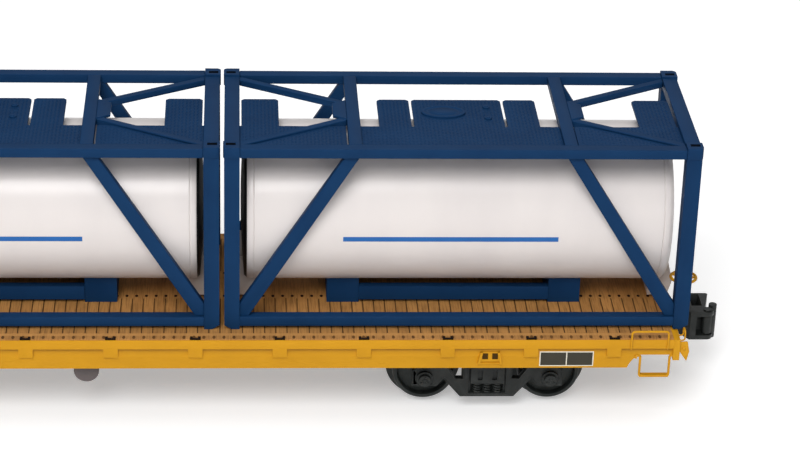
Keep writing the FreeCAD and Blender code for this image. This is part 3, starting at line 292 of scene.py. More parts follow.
@dataclass(frozen=True)
class DeckBoards:
    """Moulded boards: each its own brown, with grain along it, dirt in its seams and a painted highlight
    along each edge strip's inner edge.
    """

    name: str
    slot: str
    light: Colour
    dark: Colour
    dirt: Colour
    roughness: float = 0.75
    specular: float = 0.2
    pitch: float = 3.0 * MM
    tone_spread: Flat = (-0.5, 1.8)
    fibre: float = 1.0 * MM
    fibre_detail: float = 5.0
    fibre_stretch: Point = (2.6, 0.16, 1.0)
    fibre_depth: float = 0.1 * MM
    streak_spread: Flat = (0.45, 0.75)
    streak_share: float = 0.5
    cloud: float = 7 * MM
    cloud_detail: float = 3.0
    cloud_spread: Flat = (0.45, 0.8)
    cloud_share: float = 0.3
    seam_half_width: float = 0.17 * MM
    seam_share: float = 0.8
    middle_half_width: float = 8.0 * MM
    strip_start: float = 28.15 * MM
    # Painted highlight: a band of this width, lightened to the light board colour, at each edge strip's inner
    # edge
    painted_highlight_width: float = 0.7 * MM
    painted_highlight_share: float = 0.6

    def build(self) -> bpy.types.Material:
        """Make the material.

        Returns:
            The material.
        """
        shader = Shader(self.name, self.roughness, self.specular)
        maths, blend = shader.maths, shader.blend
        parts = shader.add("ShaderNodeSeparateXYZ", Vector=shader.place).outputs
        tone = shader.add("ShaderNodeTexWhiteNoise")
        tone.noise_dimensions = "1D"
        shader.put(maths("FLOOR", maths("DIVIDE", parts["X"], self.pitch)), tone.inputs["W"])
        board = blend(shader.ramp(tone.outputs["Value"], self.tone_spread), self.light, self.dark)
        fibre = shader.noise(self.fibre, self.fibre_detail, self.fibre_stretch)
        streak = maths("MULTIPLY", shader.ramp(fibre, self.streak_spread), self.streak_share)
        clouds = shader.ramp(shader.noise(self.cloud, self.cloud_detail), self.cloud_spread)
        cloud = maths("MULTIPLY", clouds, self.cloud_share)
        worn = blend(cloud, blend(streak, board, self.dirt), self.dirt)
        in_seam = maths("LESS_THAN", maths("PINGPONG", parts["X"], self.pitch / 2), self.seam_half_width)
        off_middle = maths("ABSOLUTE", parts["Y"])
        aside = maths("GREATER_THAN", off_middle, self.middle_half_width)
        on_slab = maths("LESS_THAN", off_middle, self.strip_start)
        seam = maths("MULTIPLY", maths("MULTIPLY", in_seam, aside), on_slab)
        seamed = blend(maths("MULTIPLY", seam, self.seam_share), worn, self.dirt)
        # Painted highlight along the inner edge of each edge strip, where light catches the step
        off_highlight = maths("ABSOLUTE", maths("SUBTRACT", off_middle, self.strip_start + self.painted_highlight_width))
        line = maths("MULTIPLY", maths("LESS_THAN", off_highlight, self.painted_highlight_width), self.painted_highlight_share)
        shader.colour(blend(line, seamed, self.light))
        shader.bump(fibre, self.fibre_depth)
        return shader.material


class Finish(Enum):
    """The finishes of the model, by the piece that they cover."""

    CONTAINER_BLUE = SatinPaint("container_blue", "container_blue", linear(19, 53, 90), linear(17, 49, 85),
                                specular=0.06)
    # Painted shade: a dark blue for the faces inside the castings' slots
    SLOT_PAINTED_SHADE = SatinPaint("slot_painted_shade", "container_blue", linear(8, 16, 30), linear(6, 12, 24), 0.7, 0.1)
    STRIPE_BLUE = SatinPaint("stripe_blue", "container_blue", linear(22, 96, 168), linear(20, 90, 160), 0.36)
    TANK_WHITE = TankEnamel("tank_white", "tank_white", linear(222, 215, 212), linear(214, 207, 205))
    HEAD_BLACK = SatinPaint("head_black", "tank_white", linear(11, 11, 12), linear(16, 16, 17), 0.5, 0.2)
    # Painted shade: the tank's white, darkened as if in shade, for the rests under the tank's ends
    REST_SHADED_WHITE = SatinPaint("rest_shaded_white", "tank_white", linear(206, 196, 190), linear(186, 176, 170))
    CAR_YELLOW = SillPaint("car_yellow", "car_yellow", linear(206, 148, 26), linear(199, 142, 24))
    # Painted shade: dark brown sheets for the insides of the bracket's openings
    RECESS_PAINTED_SHADE = SatinPaint("recess_painted_shade", "car_yellow", linear(70, 48, 12), linear(58, 40, 10), 0.7, 0.1)
    PANEL_BLACK = SatinPaint("panel_black", "car_yellow", linear(50, 46, 34), linear(44, 41, 31))
    PANEL_WHITE = SatinPaint("panel_white", "car_yellow", linear(228, 222, 205), linear(220, 214, 198))
    DECK = DeckBoards("deck_boards", "deck", linear(196, 142, 80), linear(160, 112, 60), linear(70, 46, 24))
    # Dark brown for the nail heads, and also as painted shade in the stake pockets' openings
    DECK_NAIL_AND_SHADE = SatinPaint("deck_nail", "deck", linear(34, 22, 14), linear(26, 17, 10), 0.7, 0.1)
    DECK_MARK = SatinPaint("deck_mark", "deck", linear(108, 74, 40), linear(92, 62, 34), 0.7, 0.1)
    TANK_GREY = SatinPaint("tank_grey", "tank_grey", linear(96, 88, 88), linear(82, 76, 76))
    FRAME_BLACK = CastBlack("frame_black", "underframe_black", linear(24, 24, 24), linear(42, 40, 38), 0.7)
    TRUCK_BLACK = CastBlack("truck_black", "truck_black", linear(30, 33, 32), linear(48, 51, 50), 0.42)
    WHEEL_BLACK = CastBlack("wheel_black", "wheel_black", linear(36, 40, 39), linear(54, 57, 55), 0.36,
                            metallic=0.3)

    def material(self) -> bpy.types.Material:
        """Give this finish's material, made at its first use."""
        found = bpy.data.materials.get(f"look_{self.value.name}")
        return found or self.value.build()


def covered(mesh: Mesh, *finishes: Finish) -> Mesh:
    """Give a mesh these finishes, the first one on every face.

    Args:
        mesh: The mesh to cover.
        *finishes: The finishes, in the order of the faces' numbers.

    Returns:
        The same mesh.
    """
    mesh.materials.clear()
    for finish in finishes:
        mesh.materials.append(finish.material())
    return mesh


def tint(mesh: Mesh, base: Finish, other: Finish, chosen: Callable[[Vector], bool]) -> Mesh:
    """Cover a mesh with one finish, and with another where a test on a face's middle holds.

    Args:
        mesh: The mesh to cover.
        base: The finish of most faces.
        other: The finish of the chosen faces.
        chosen: The test.

    Returns:
        The same mesh.
    """
    covered(mesh, base, other)
    for face in mesh.polygons:
        face.material_index = int(chosen(face.center))
    return mesh


def shown(name: str, data: bpy.types.ID) -> bpy.types.Object:
    """Put a mesh, curve, light or camera into the scene.

    Args:
        name: The object's name.
        data: What it shows.

    Returns:
        The new object.
    """
    item = bpy.data.objects.new(name, data)
    bpy.context.scene.collection.objects.link(item)
    return item


def keep(name: str, mesh: Mesh, finish: Finish, body: str, *nodes: str) -> None:
    """Turn a finished mesh into a piece that rides on a body.

    Args:
        name: The piece's name.
        mesh: Its mesh, already in place.
        finish: What covers it, where the mesh has no material yet.
        body: The CAD body that it moves with.
        *nodes: CAD nodes that it stands for.
    """
    piece = shown(name, mesh)
    if not mesh.materials:
        mesh.materials.append(finish.material())
    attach(piece, body)
    if nodes:
        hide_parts(*nodes)
    LOG.info("piece %s on %s: %d faces", name, body, len(mesh.polygons))


def smoothed(mesh: Mesh, angle: float = 35.0) -> Mesh:
    """Shade a mesh smooth apart from its sharper edges.

    Args:
        mesh: The mesh.
        angle: The least angle of a sharp edge, in degrees.

    Returns:
        The same mesh.
    """
    mesh.shade_smooth()
    mesh.set_sharp_from_angle(angle=math.radians(angle))
    return mesh


def drawn(work: bmesh.types.BMesh, name: str) -> Mesh:
    """Turn mesh work into a new mesh.

    Args:
        work: The mesh work, which is freed.
        name: The mesh's name.

    Returns:
        The mesh.
    """
    mesh = bpy.data.meshes.new(name)
    work.to_mesh(mesh)
    work.free()
    return mesh


def finished(work: bmesh.types.BMesh, name: str, angle: float = 35.0) -> Mesh:
    """Turn mesh work into a mesh that faces outwards, with smooth shading below an angle."""
    bmesh.ops.recalc_face_normals(work, faces=work.faces)
    return smoothed(drawn(work, name), angle)


def taken(holder: bpy.types.Object) -> Mesh:
    """Bake an object's modifiers into a new mesh and delete the object.

    Args:
        holder: The object.

    Returns:
        The new mesh.
    """
    bpy.context.view_layer.update()
    graph = bpy.context.evaluated_depsgraph_get()
    result = bpy.data.meshes.new_from_object(holder.evaluated_get(graph))
    bpy.data.objects.remove(holder)
    return result


def merged(node: str, flatness: float = 0.4) -> bmesh.types.BMesh:
    """Copy a CAD node's mesh with its points joined and its flat faces whole.

    Args:
        node: The CAD node.
        flatness: The least angle between faces that stay apart, in degrees.

    Returns:
        The copy, as mesh work.
    """
    work = bmesh.new()
    work.from_mesh(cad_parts[node].data)
    bmesh.ops.remove_doubles(work, verts=work.verts, dist=WELD)
    bmesh.ops.dissolve_limit(work, angle_limit=math.radians(flatness), verts=work.verts, edges=work.edges)
    return work


def rounded(mesh: Mesh, width: float, segments: int = 2, sharp: float = 32.0) -> Mesh:
    """Round a mesh's sharp edges.

    Args:
        mesh: The mesh.
        width: How far each rounding reaches from its edge, in metres.
        segments: How many faces make the rounding.
        sharp: The least angle of an edge that is rounded, in degrees.

    Returns:
        A new mesh, in the same place.
    """
    mesh.shade_smooth()
    holder = shown("rounding_work", mesh)
    modifier = holder.modifiers.new("edges", "BEVEL")
    modifier.width = width
    modifier.segments = segments
    modifier.limit_method = "ANGLE"
    modifier.angle_limit = math.radians(sharp)
    modifier.harden_normals = True
    return taken(holder)


def bevelled(node: str, width: float, segments: int = 2) -> Mesh:
    """Copy a CAD node's mesh with its sharp edges rounded."""
    return rounded(drawn(merged(node), f"{node}_copy"), width, segments)


def scaled(shares: Outline, along: float, out: float) -> list[Flat]:
    """Size an outline that is given in shares of its length and its reach."""
    return [(along * first, out * second) for first, second in shares]


def mirrored(half: list[Flat]) -> list[Flat]:
    """Complete a symmetrical outline from its half on the positive side."""
    return [(-along, out) for along, out in reversed(half) if along] + half


def turned(point: Flat, angle: float, axis: str) -> Vector:
    """Place a distance along an axis and out from it at an angle round the axis."""
    index, around = "XYZ".index(axis), (point[1] * math.cos(angle), point[1] * math.sin(angle))
    return Vector((*around[:index], point[0], *around[index:]))


def bridge(work: bmesh.types.BMesh, near: list[bmesh.types.BMVert], far: list[bmesh.types.BMVert]) -> None:
    """Join two rings of points with faces.

    Args:
        work: The mesh work.
        near, far: The rings, with as many points each. A ring of one point is a pole.
    """
    steps = max(len(near), len(far))
    for step in range(steps):
        after = (step + 1) % steps
        corners = [near[step % len(near)], near[after % len(near)],
                   far[after % len(far)], far[step % len(far)]]
        work.faces.new(list(dict.fromkeys(corners)))


def lathe(profile: Outline, axis: str, middle: Vector, steps: int) -> Mesh:
    """Turn an outline once round an axis.

    Args:
        profile: Distances along the axis and out from it, in metres. Its ends lie on the axis.
        axis: "X", "Y" or "Z".
        middle: The point that the distances are measured from.
        steps: How many facets go round.

    Returns:
        The closed mesh, facing outwards.
    """
    work = bmesh.new()
    rings = [[work.verts.new(middle + turned(point, TURN * step / steps, axis))
              for step in range(steps if point[1] > 0 else 1)] for point in profile]
    for near, far in zip(rings, rings[1:]):
        bridge(work, near, far)
    return finished(work, "turned")


def prism(outline: Outline, axis: str, low: float, high: float, edge: float = 0.0) -> Mesh:
    """Extrude an outline along an axis.

    Args:
        outline: Corners in the plane across the axis: (Y, Z), (X, Z) or (X, Y).
        axis: "X", "Y" or "Z".
        low, high: Where the prism starts and ends along the axis.
        edge: How far its edges are rounded, if at all.

    Returns:
        The closed mesh.
    """
    work = bmesh.new()
    index = "XYZ".index(axis)
    rings = [[work.verts.new((*flat[:index], along, *flat[index:])) for flat in outline]
             for along in (low, high)]
    for ring in rings:
        work.faces.new(ring)
    bridge(work, *rings)
    mesh = finished(work, "prism")
    return rounded(mesh, edge) if edge else mesh


def block(low: Point, high: Point, edge: float = 0.0) -> Mesh:
    """Make a block between two corners, with rounded edges if an edge width is given."""
    outline = [(low[0], low[1]), (high[0], low[1]), (high[0], high[1]), (low[0], high[1])]
    return prism(outline, "Z", low[2], high[2], edge)


def bent_path(points: list[Point], bend: float, steps: int = 6) -> list[Vector]:
    """Round the corners of an open path.

    Args:
        points: The ends and corners, in metres.
        bend: How far each rounding reaches from its corner.
        steps: How many runs make one rounding.

    Returns:
        The points of the rounded path.
    """
    spots = [Vector(point) for point in points]
    path = [spots[0]]
    for before, spot, after in zip(spots, spots[1:], spots[2:]):
        back, ahead = before - spot, after - spot
        reach = min(bend, back.length / 2, ahead.length / 2)
        for step in range(steps + 1):
            share = step / steps
            start = spot + back.normalized() * reach * (1 - share)
            path.append(start.lerp(spot + ahead.normalized() * reach * share, share))
    return path + [spots[-1]]


def wire(points: list[Point], radius: float, bend: float) -> Mesh:
    """Bend a round wire through corners.

    Args:
        points: The ends and corners, in metres.
        radius: The wire's radius.
        bend: How far each bend reaches from its corner.

    Returns:
        The wire's mesh.
    """
    path = bent_path(points, bend)
    curve = bpy.data.curves.new("wire", "CURVE")
    curve.dimensions = "3D"
    curve.bevel_depth = radius
    curve.bevel_resolution = 3
    curve.use_fill_caps = True
    spline = curve.splines.new("POLY")
    spline.points.add(len(path) - 1)
    for point, spot in zip(spline.points, path):
        point.co = (*spot, 1)
    work = bmesh.new()
    work.from_mesh(taken(shown("wire_work", curve)))
    bmesh.ops.remove_doubles(work, verts=work.verts, dist=WELD)
    return finished(work, "wire", 60)


def joined(meshes: list[Mesh]) -> Mesh:
    """Put several meshes into one, keeping their materials.

    Args:
        meshes: The meshes.

    Returns:
        The new mesh.
    """
    materials: list[bpy.types.Material] = []
    work = bmesh.new()
    for mesh in meshes:
        start = len(work.faces)
        work.from_mesh(mesh)
        work.faces.ensure_lookup_table()
        materials += [material for material in mesh.materials if material not in materials]
        places = [materials.index(material) for material in mesh.materials]
        for face in work.faces[start:]:
            face.material_index = places[face.material_index] if places else 0
    result = drawn(work, "joined")
    for material in materials:
        result.materials.append(material)
    return result


def flipped(mesh: Mesh, along: int, across: int) -> Mesh:
    """Copy a mesh to another corner of the car.

    Args:
        mesh: The mesh at the near side of the +X end.
        along: 1 for the +X end, -1 for the other.
        across: -1 for the near side, 1 for the far side.

    Returns:
        The mirrored copy, facing outwards.
    """
    work = bmesh.new()
    work.from_mesh(mesh)
    bmesh.ops.transform(work, matrix=Matrix.Diagonal((along, -across, 1, 1)), verts=work.verts)
    if along * -across < 0:
        bmesh.ops.reverse_faces(work, faces=work.faces)
    result = mesh.copy()
    work.to_mesh(result)
    work.free()
    return result


def at_corners(mesh: Mesh) -> Mesh:
    """Set a mesh at all four corners of the car."""
    return joined([flipped(mesh, along, across) for along, across in CORNERS])


def on_both_sides(mesh: Mesh) -> Mesh:
    """Set a mesh on the near side and on the far side."""
    return joined([mesh, flipped(mesh, 1, 1)])


class Pattern(Nodes):
    """A Geometry Nodes tree with named inputs, which ends in real geometry with its finish."""

    KINDS = {float: "NodeSocketFloat", int: "NodeSocketInt", Vector: "NodeSocketVector"}
    GRID = {"Size X": float, "Size Y": float, "Count X": int, "Count Y": int, "Middle": Vector}

    def __init__(self, name: str, inputs: dict[str, type]) -> None:
        """Start the tree.

        Args:
            name: The tree's name.
            inputs: Each input's label and kind.
        """
        super().__init__(bpy.data.node_groups.new(name, "GeometryNodeTree"))
        face = self.tree.interface
        for way in ("OUTPUT", "INPUT"):
            face.new_socket("Geometry", in_out=way, socket_type="NodeSocketGeometry")
        self.sockets = {label: face.new_socket(label, in_out="INPUT", socket_type=self.KINDS[kind]).identifier
                        for label, kind in inputs.items()}
        self.given = self.add("NodeGroupInput").outputs

    def grid(self) -> Socket:
        """Spread points as the inputs of GRID say.

        Returns:
            The points.
        """
        given = self.given
        mesh = self.add("GeometryNodeMeshGrid", Size_X=given["Size X"], Size_Y=given["Size Y"],
                        Vertices_X=given["Count X"], Vertices_Y=given["Count Y"]).outputs["Mesh"]
        moved = self.add("GeometryNodeTransform", Geometry=mesh, Translation=given["Middle"])
        return moved.outputs["Geometry"]

    def close(self, points: Socket, copied: Socket, finish: Finish, **inputs: object) -> None:
        """Set copies on points, make them real, cover them and end the tree.

        Args:
            points: Where the copies go.
            copied: What is copied.
            finish: What covers the copies.
            **inputs: The copies' selection, turn and scale.
        """
        placed = self.add("GeometryNodeInstanceOnPoints", Points=points, Instance=copied, **inputs)
        real = self.add("GeometryNodeRealizeInstances", Geometry=placed.outputs["Instances"])
        cover = self.add("GeometryNodeSetMaterial", Geometry=real.outputs["Geometry"],
                         Material=finish.material())
        self.add("NodeGroupOutput", Geometry=cover.outputs["Geometry"])

    def run(self, seed: Mesh | None = None, **values: object) -> Mesh:
        """Run the tree with these inputs and give the plain mesh.

        Args:
            seed: The mesh that the tree reads, if any.
            **values: The named inputs, with underscores for spaces.

        Returns:
            The real mesh.
        """
        holder = shown("pattern_work", seed or bpy.data.meshes.new("pattern_seed"))
        modifier = holder.modifiers.new("pattern", "NODES")
        modifier.node_group = self.tree
        for label, value in values.items():
            modifier[self.sockets[label.replace("_", " ")]] = value
        return taken(holder)


class TreadPattern(Pattern):
    """Raised lozenges, turned to and fro, on the level plates of the mesh that it reads."""

    RAY_REACH = 1.5 * MM
    RAY_SLACK = 0.05 * MM

    def __init__(self, finish: Finish) -> None:
        """Build the tree for one finish.

        Args:
            finish: What covers the lozenges.
        """
        super().__init__("tread", self.GRID | {"Margin": float, "Stud Size": Vector})
        cone = self.add("GeometryNodeMeshCone", Vertices=4, Radius_Top=0.62, Radius_Bottom=1.0, Depth=1.0)
        stud = self.add("GeometryNodeTransform", Geometry=cone.outputs["Mesh"], Scale=self.given["Stud Size"])
        odd = self.maths("MODULO", self.add("GeometryNodeInputIndex").outputs["Index"], 2.0)
        turn = self.maths("SUBTRACT", self.maths("MULTIPLY", odd, TURN / 4), TURN / 8)
        self.close(self.grid(), stud.outputs["Geometry"], finish, Selection=self.on_plate(),
                   Rotation=self.add("ShaderNodeCombineXYZ", Z=turn).outputs["Vector"])

    def on_plate(self) -> Socket:
        """Test that a stud's four ends all lie on the level plate, by looking straight down on it.

        Returns:
            Whether they do.
        """
        margin = self.given["Margin"]
        position = self.add("GeometryNodeInputPosition").outputs["Position"]
        minus = self.maths("MULTIPLY", margin, -1.0)
        result = None
        for label, step in (("X", margin), ("X", minus), ("Y", margin), ("Y", minus)):
            offset = self.add("ShaderNodeCombineXYZ", Z=self.RAY_REACH, **{label: step})
            above = self.add("ShaderNodeVectorMath", "ADD", at0=position, at1=offset.outputs["Vector"])
            ray = self.add("GeometryNodeRaycast", Target_Geometry=self.given["Geometry"],
                           Source_Position=above.outputs["Vector"], Ray_Direction=(0, 0, -1),
                           Ray_Length=self.RAY_REACH + self.RAY_SLACK).outputs
            level = self.maths("GREATER_THAN", ray["Hit Distance"], self.RAY_REACH - self.RAY_SLACK)
            good = self.add("FunctionNodeBooleanMath", "AND", at0=ray["Is Hit"], at1=level).outputs["Boolean"]
            if result:
                good = self.add("FunctionNodeBooleanMath", "AND", at0=result, at1=good).outputs["Boolean"]
            result = good
        return result


class StudRows(Pattern):
    """Small flat six-sided heads on a grid of places."""

    def __init__(self, name: str, finish: Finish) -> None:
        """Build the tree.

        Args:
            name: The tree's name.
            finish: What covers the heads.
        """
        super().__init__(name, self.GRID | {"Head Size": Vector})
        head = self.add("GeometryNodeMeshCylinder", Vertices=6, Radius=0.5, Depth=1.0)
        self.close(self.grid(), head.outputs["Mesh"], finish, Scale=self.given["Head Size"])


class CoilRow(Pattern):
    """A row of upright coil springs."""

    def __init__(self, finish: Finish) -> None:
        """Build the tree for one finish.

        Args:
            finish: What covers the springs.
        """
        super().__init__("coils", {"Turns": float, "Coil Radius": float, "Wire Radius": float,
                                   "Height": float, "Count": int, "Start": Vector, "Step": Vector})
        given = self.given
        spiral = self.add("GeometryNodeCurveSpiral", Resolution=14, Rotations=given["Turns"],
                          Start_Radius=given["Coil Radius"], End_Radius=given["Coil Radius"],
                          Height=given["Height"])
        ring = self.add("GeometryNodeCurvePrimitiveCircle", Resolution=8, Radius=given["Wire Radius"])
        coil = self.add("GeometryNodeCurveToMesh", Curve=spiral.outputs["Curve"],
                        Profile_Curve=ring.outputs["Curve"], Fill_Caps=True)
        row = self.add("GeometryNodeMeshLine", Count=given["Count"], Start_Location=given["Start"],
                       Offset=given["Step"])
        self.close(row.outputs["Mesh"], coil.outputs["Mesh"], finish)


@dataclass
class TankContainer:
    """One framed tank container: blue frame, white tank, treadplate walkway."""

    number: int
    tread: TreadPattern
    casting_edge: float = 0.3 * MM
    casting_corner: float = 1.0 * MM
    casting_segments: int = 5
    slot_drop: Flat = (0.32 * MM, 0.88 * MM)
    bar_edge: float = 0.2 * MM
    tank_radius: float = 21.8 * MM
    tank_facets: int = 160
    head_depth: float = 1.9 * MM
    head_edge: float = 0.9 * MM
    head_steps: int = 12
    outer_end: float = 150.0 * MM
    ring_inset: float = 1.6 * MM
    ring_groove: float = 0.22 * MM
    rest_start: float = 50.0 * MM
    stripe_x: Flat = (-31.2 * MM, 26.6 * MM)
    stripe_rise: Flat = (24.3 * MM, 25.7 * MM)
    stripe_proud: float = 0.03 * MM
    stripe_steps: int = 6
    tread_pitch: float = 1.0 * MM
    tread_border: float = 0.62 * MM
    stud_size: Point = (0.46 * MM, 0.17 * MM, 0.1 * MM)
    lid_half: Flat = (6.0 * MM, 3.8 * MM)
    lid_height: float = 0.6 * MM
    lid_offset: Flat = (-3.9 * MM, -0.05 * MM)
    lid_shares: Outline = ((0.0, 0.0), (0.0, 1.0), (0.75, 1.0), (1.0, 0.95), (1.0, 0.86), (0.6, 0.82),
                           (0.6, 0.62), (0.95, 0.58), (0.95, 0.0))
    cap_radius: float = 1.0 * MM
    cap_x: float = 7.975 * MM
    cap_step: float = 3.6 * MM
    cap_shares: Outline = ((0.0, 0.0), (0.0, 1.0), (0.6, 1.0), (0.75, 0.86), (0.75, 0.55), (1.0, 0.5),
                           (1.0, 0.0))

    def __post_init__(self) -> None:
        """Read the container's body and place."""
        self.body = f"container_{self.number}"
        low, _, middle = extent(self.own("corner_posts"))
        self.deck_z, self.middle_x = low.z, middle.x

    def own(self, part: str) -> str:
        """Name one of this container's nodes or pieces."""
        return f"{part}_{self.number}"

    def build(self) -> None:
        """Make and dress every piece of this container."""
        self.make_frame()
        self.make_rests()
        self.make_tank()
        self.make_stripes()
        self.make_walkway()
        self.make_manhole()

    def make_frame(self) -> None:
        """Round the edges of the frame's pieces and lay painted shade in the castings' slots."""
        node = self.own("corner_posts")
        _, high, middle = extent(node)

        def in_slot(spot: Vector) -> bool:
            """Test that a face lies inside a slot of a top casting.

            Args:
                spot: The face's middle.

            Returns:
                Whether it does.
            """
            return (self.slot_drop[0] < high.z - spot.z < self.slot_drop[1]
                    and all(abs(spot[axis] - middle[axis]) < high[axis] - middle[axis] - 2 * self.casting_edge
                            for axis in (0, 1)))
        # The faces inside the slots get painted shade
        posts = tint(self.rounded_castings(node), Finish.CONTAINER_BLUE, Finish.SLOT_PAINTED_SHADE, in_slot)
        keep(self.own("corner_posts_rounded"), posts, Finish.CONTAINER_BLUE, self.body, node)
        for part in ("frame_rails", "side_braces", "top_braces"):
            node = self.own(part)
            mesh = bevelled(node, self.bar_edge)
            keep(self.own(f"{part}_rounded"), mesh, Finish.CONTAINER_BLUE, self.body, node)

    def rounded_castings(self, node: str) -> Mesh:
        """Copy the posts with their castings' outer corners well rounded and all other edges a little.

        Args:
            node: The CAD node of the posts.

        Returns:
            The new mesh.
        """
        _, high, middle = extent(node)
        near = 0.02 * MM

        def at_corner(vertex: bmesh.types.BMVert) -> bool:
            """Test that a point lies on one of the container's upright corners."""
            return all(high[axis] - middle[axis] - abs(vertex.co[axis] - middle[axis]) < near
                       for axis in (0, 1))
        work = merged(node)
        edges = [edge for edge in work.edges if all(at_corner(vertex) for vertex in edge.verts)]
        bmesh.ops.bevel(work, geom=edges, offset=self.casting_corner, segments=self.casting_segments,
                        profile=0.5, affect="EDGES")
        return rounded(drawn(work, f"{node}_copy"), self.casting_edge)

    def make_rests(self) -> None:
        """Round the saddles, and paint the rests under the tank's ends in the tank's white, darkened as
        painted shade.
        """
        node = self.own("tank_saddles")
        # The rests get the tank's white with painted shade
        mesh = tint(bevelled(node, self.bar_edge), Finish.CONTAINER_BLUE, Finish.REST_SHADED_WHITE,
                    lambda spot: abs(spot.x - self.middle_x) > self.rest_start)
        keep(self.own("tank_saddles_rounded"), mesh, Finish.CONTAINER_BLUE, self.body, node)

    def make_tank(self) -> None:
        """Turn the tank's skin, with its ring lines and its shallow domed heads, which are black."""
        node = self.own("tank_shell")
        low, high, middle = extent(node)
        radius, groove = self.tank_radius, self.ring_groove
        rim = (high.x - low.x) / 2 - self.head_depth
        ring = rim - self.ring_inset
        right = [(ring - groove, radius), (ring, radius - groove), (ring + groove, radius),
                 (rim - groove, radius), (rim, radius - groove / 2), (rim + groove, radius - groove)]
        for step in range(self.head_steps + 1):
            share = 1 - step / self.head_steps
            rise = (self.head_depth - self.head_edge) * (1 - share ** 2)
            right.append((rim + self.head_edge + rise, (radius - self.head_edge) * share))

        def on_head(spot: Vector) -> bool:
            """Test that a face is on a black head, inside the pale rim at the car's two ends."""
            edge = self.head_edge if abs(spot.x) > self.outer_end else groove
            return abs(spot.x - middle.x) > rim + edge
        skin = lathe(mirrored(right), "X", middle, self.tank_facets)
        mesh = tint(skin, Finish.TANK_WHITE, Finish.HEAD_BLACK, on_head)
        keep(self.own("tank_skin"), mesh, Finish.TANK_WHITE, self.body, node)

    def make_stripes(self) -> None:
        """Lay a plain stripe on each side of the tank."""
        middle = extent(self.own("tank_shell"))[2]
        low, high = (math.asin((self.deck_z + rise - middle.z) / self.tank_radius)
                     for rise in self.stripe_rise)
        angles = [low + (high - low) * step / self.stripe_steps for step in range(self.stripe_steps + 1)]
        first, last = self.stripe_x
        sides = []
        for side, start, end in ((-1, first, last), (1, -last, -first)):
            outline = [(middle.y + side * radius * math.cos(angle), middle.z + radius * math.sin(angle))
                       for radius, order in ((self.tank_radius + self.stripe_proud, 1),
                                             (self.tank_radius - self.stripe_proud, -1))
                       for angle in angles[::order]]
            sides.append(prism(outline, "X", self.middle_x + start, self.middle_x + end))
        keep(self.own("tank_stripes"), joined(sides), Finish.STRIPE_BLUE, self.body)

    def make_walkway(self) -> None:
        """Round the walkway's edges and set the raised tread pattern on it."""
        node, pitch = self.own("walkway"), self.tread_pitch
        plates = bevelled(node, self.bar_edge / 2)
        keep(self.own("walkway_rounded"), plates, Finish.CONTAINER_BLUE, self.body, node)
        low, high, middle = extent(node)
        count_x, count_y = (int((high[axis] - low[axis]) / pitch) // 2 * 2 + 1 for axis in (0, 1))
        seed = joined([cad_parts[self.own(part)].data
                       for part in ("walkway", "manhole", "top_braces", "frame_rails")])
        mesh = self.tread.run(seed, Size_X=(count_x - 1) * pitch, Size_Y=(count_y - 1) * pitch,
                              Count_X=count_x, Count_Y=count_y, Middle=(middle.x, middle.y, high.z),
                              Margin=self.tread_border, Stud_Size=self.stud_size)
        keep(self.own("tread_studs"), mesh, Finish.CONTAINER_BLUE, self.body)

    def make_manhole(self) -> None:
        """Build the oval lid in steps, and the two valve caps beside it."""
        node = self.own("manhole")
        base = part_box(node)[0].z
        aside, across = self.lid_offset
        lid = lathe(scaled(self.lid_shares, self.lid_height, 1.0), "Z", Vector((0, 0, 0)), 96)
        lid.transform(Matrix.Translation((self.middle_x + aside, across, base))
                      @ Matrix.Diagonal((*self.lid_half, 1, 1)))
        cap = scaled(self.cap_shares, self.lid_height, self.cap_radius)
        caps = [lathe(cap, "Z", Vector((self.middle_x + self.cap_x, across + side * self.cap_step, base)), 32)
                for side in (-1, 1)]
        keep(self.own("manhole_lid"), joined([lid, *caps]), Finish.CONTAINER_BLUE, self.body, node)


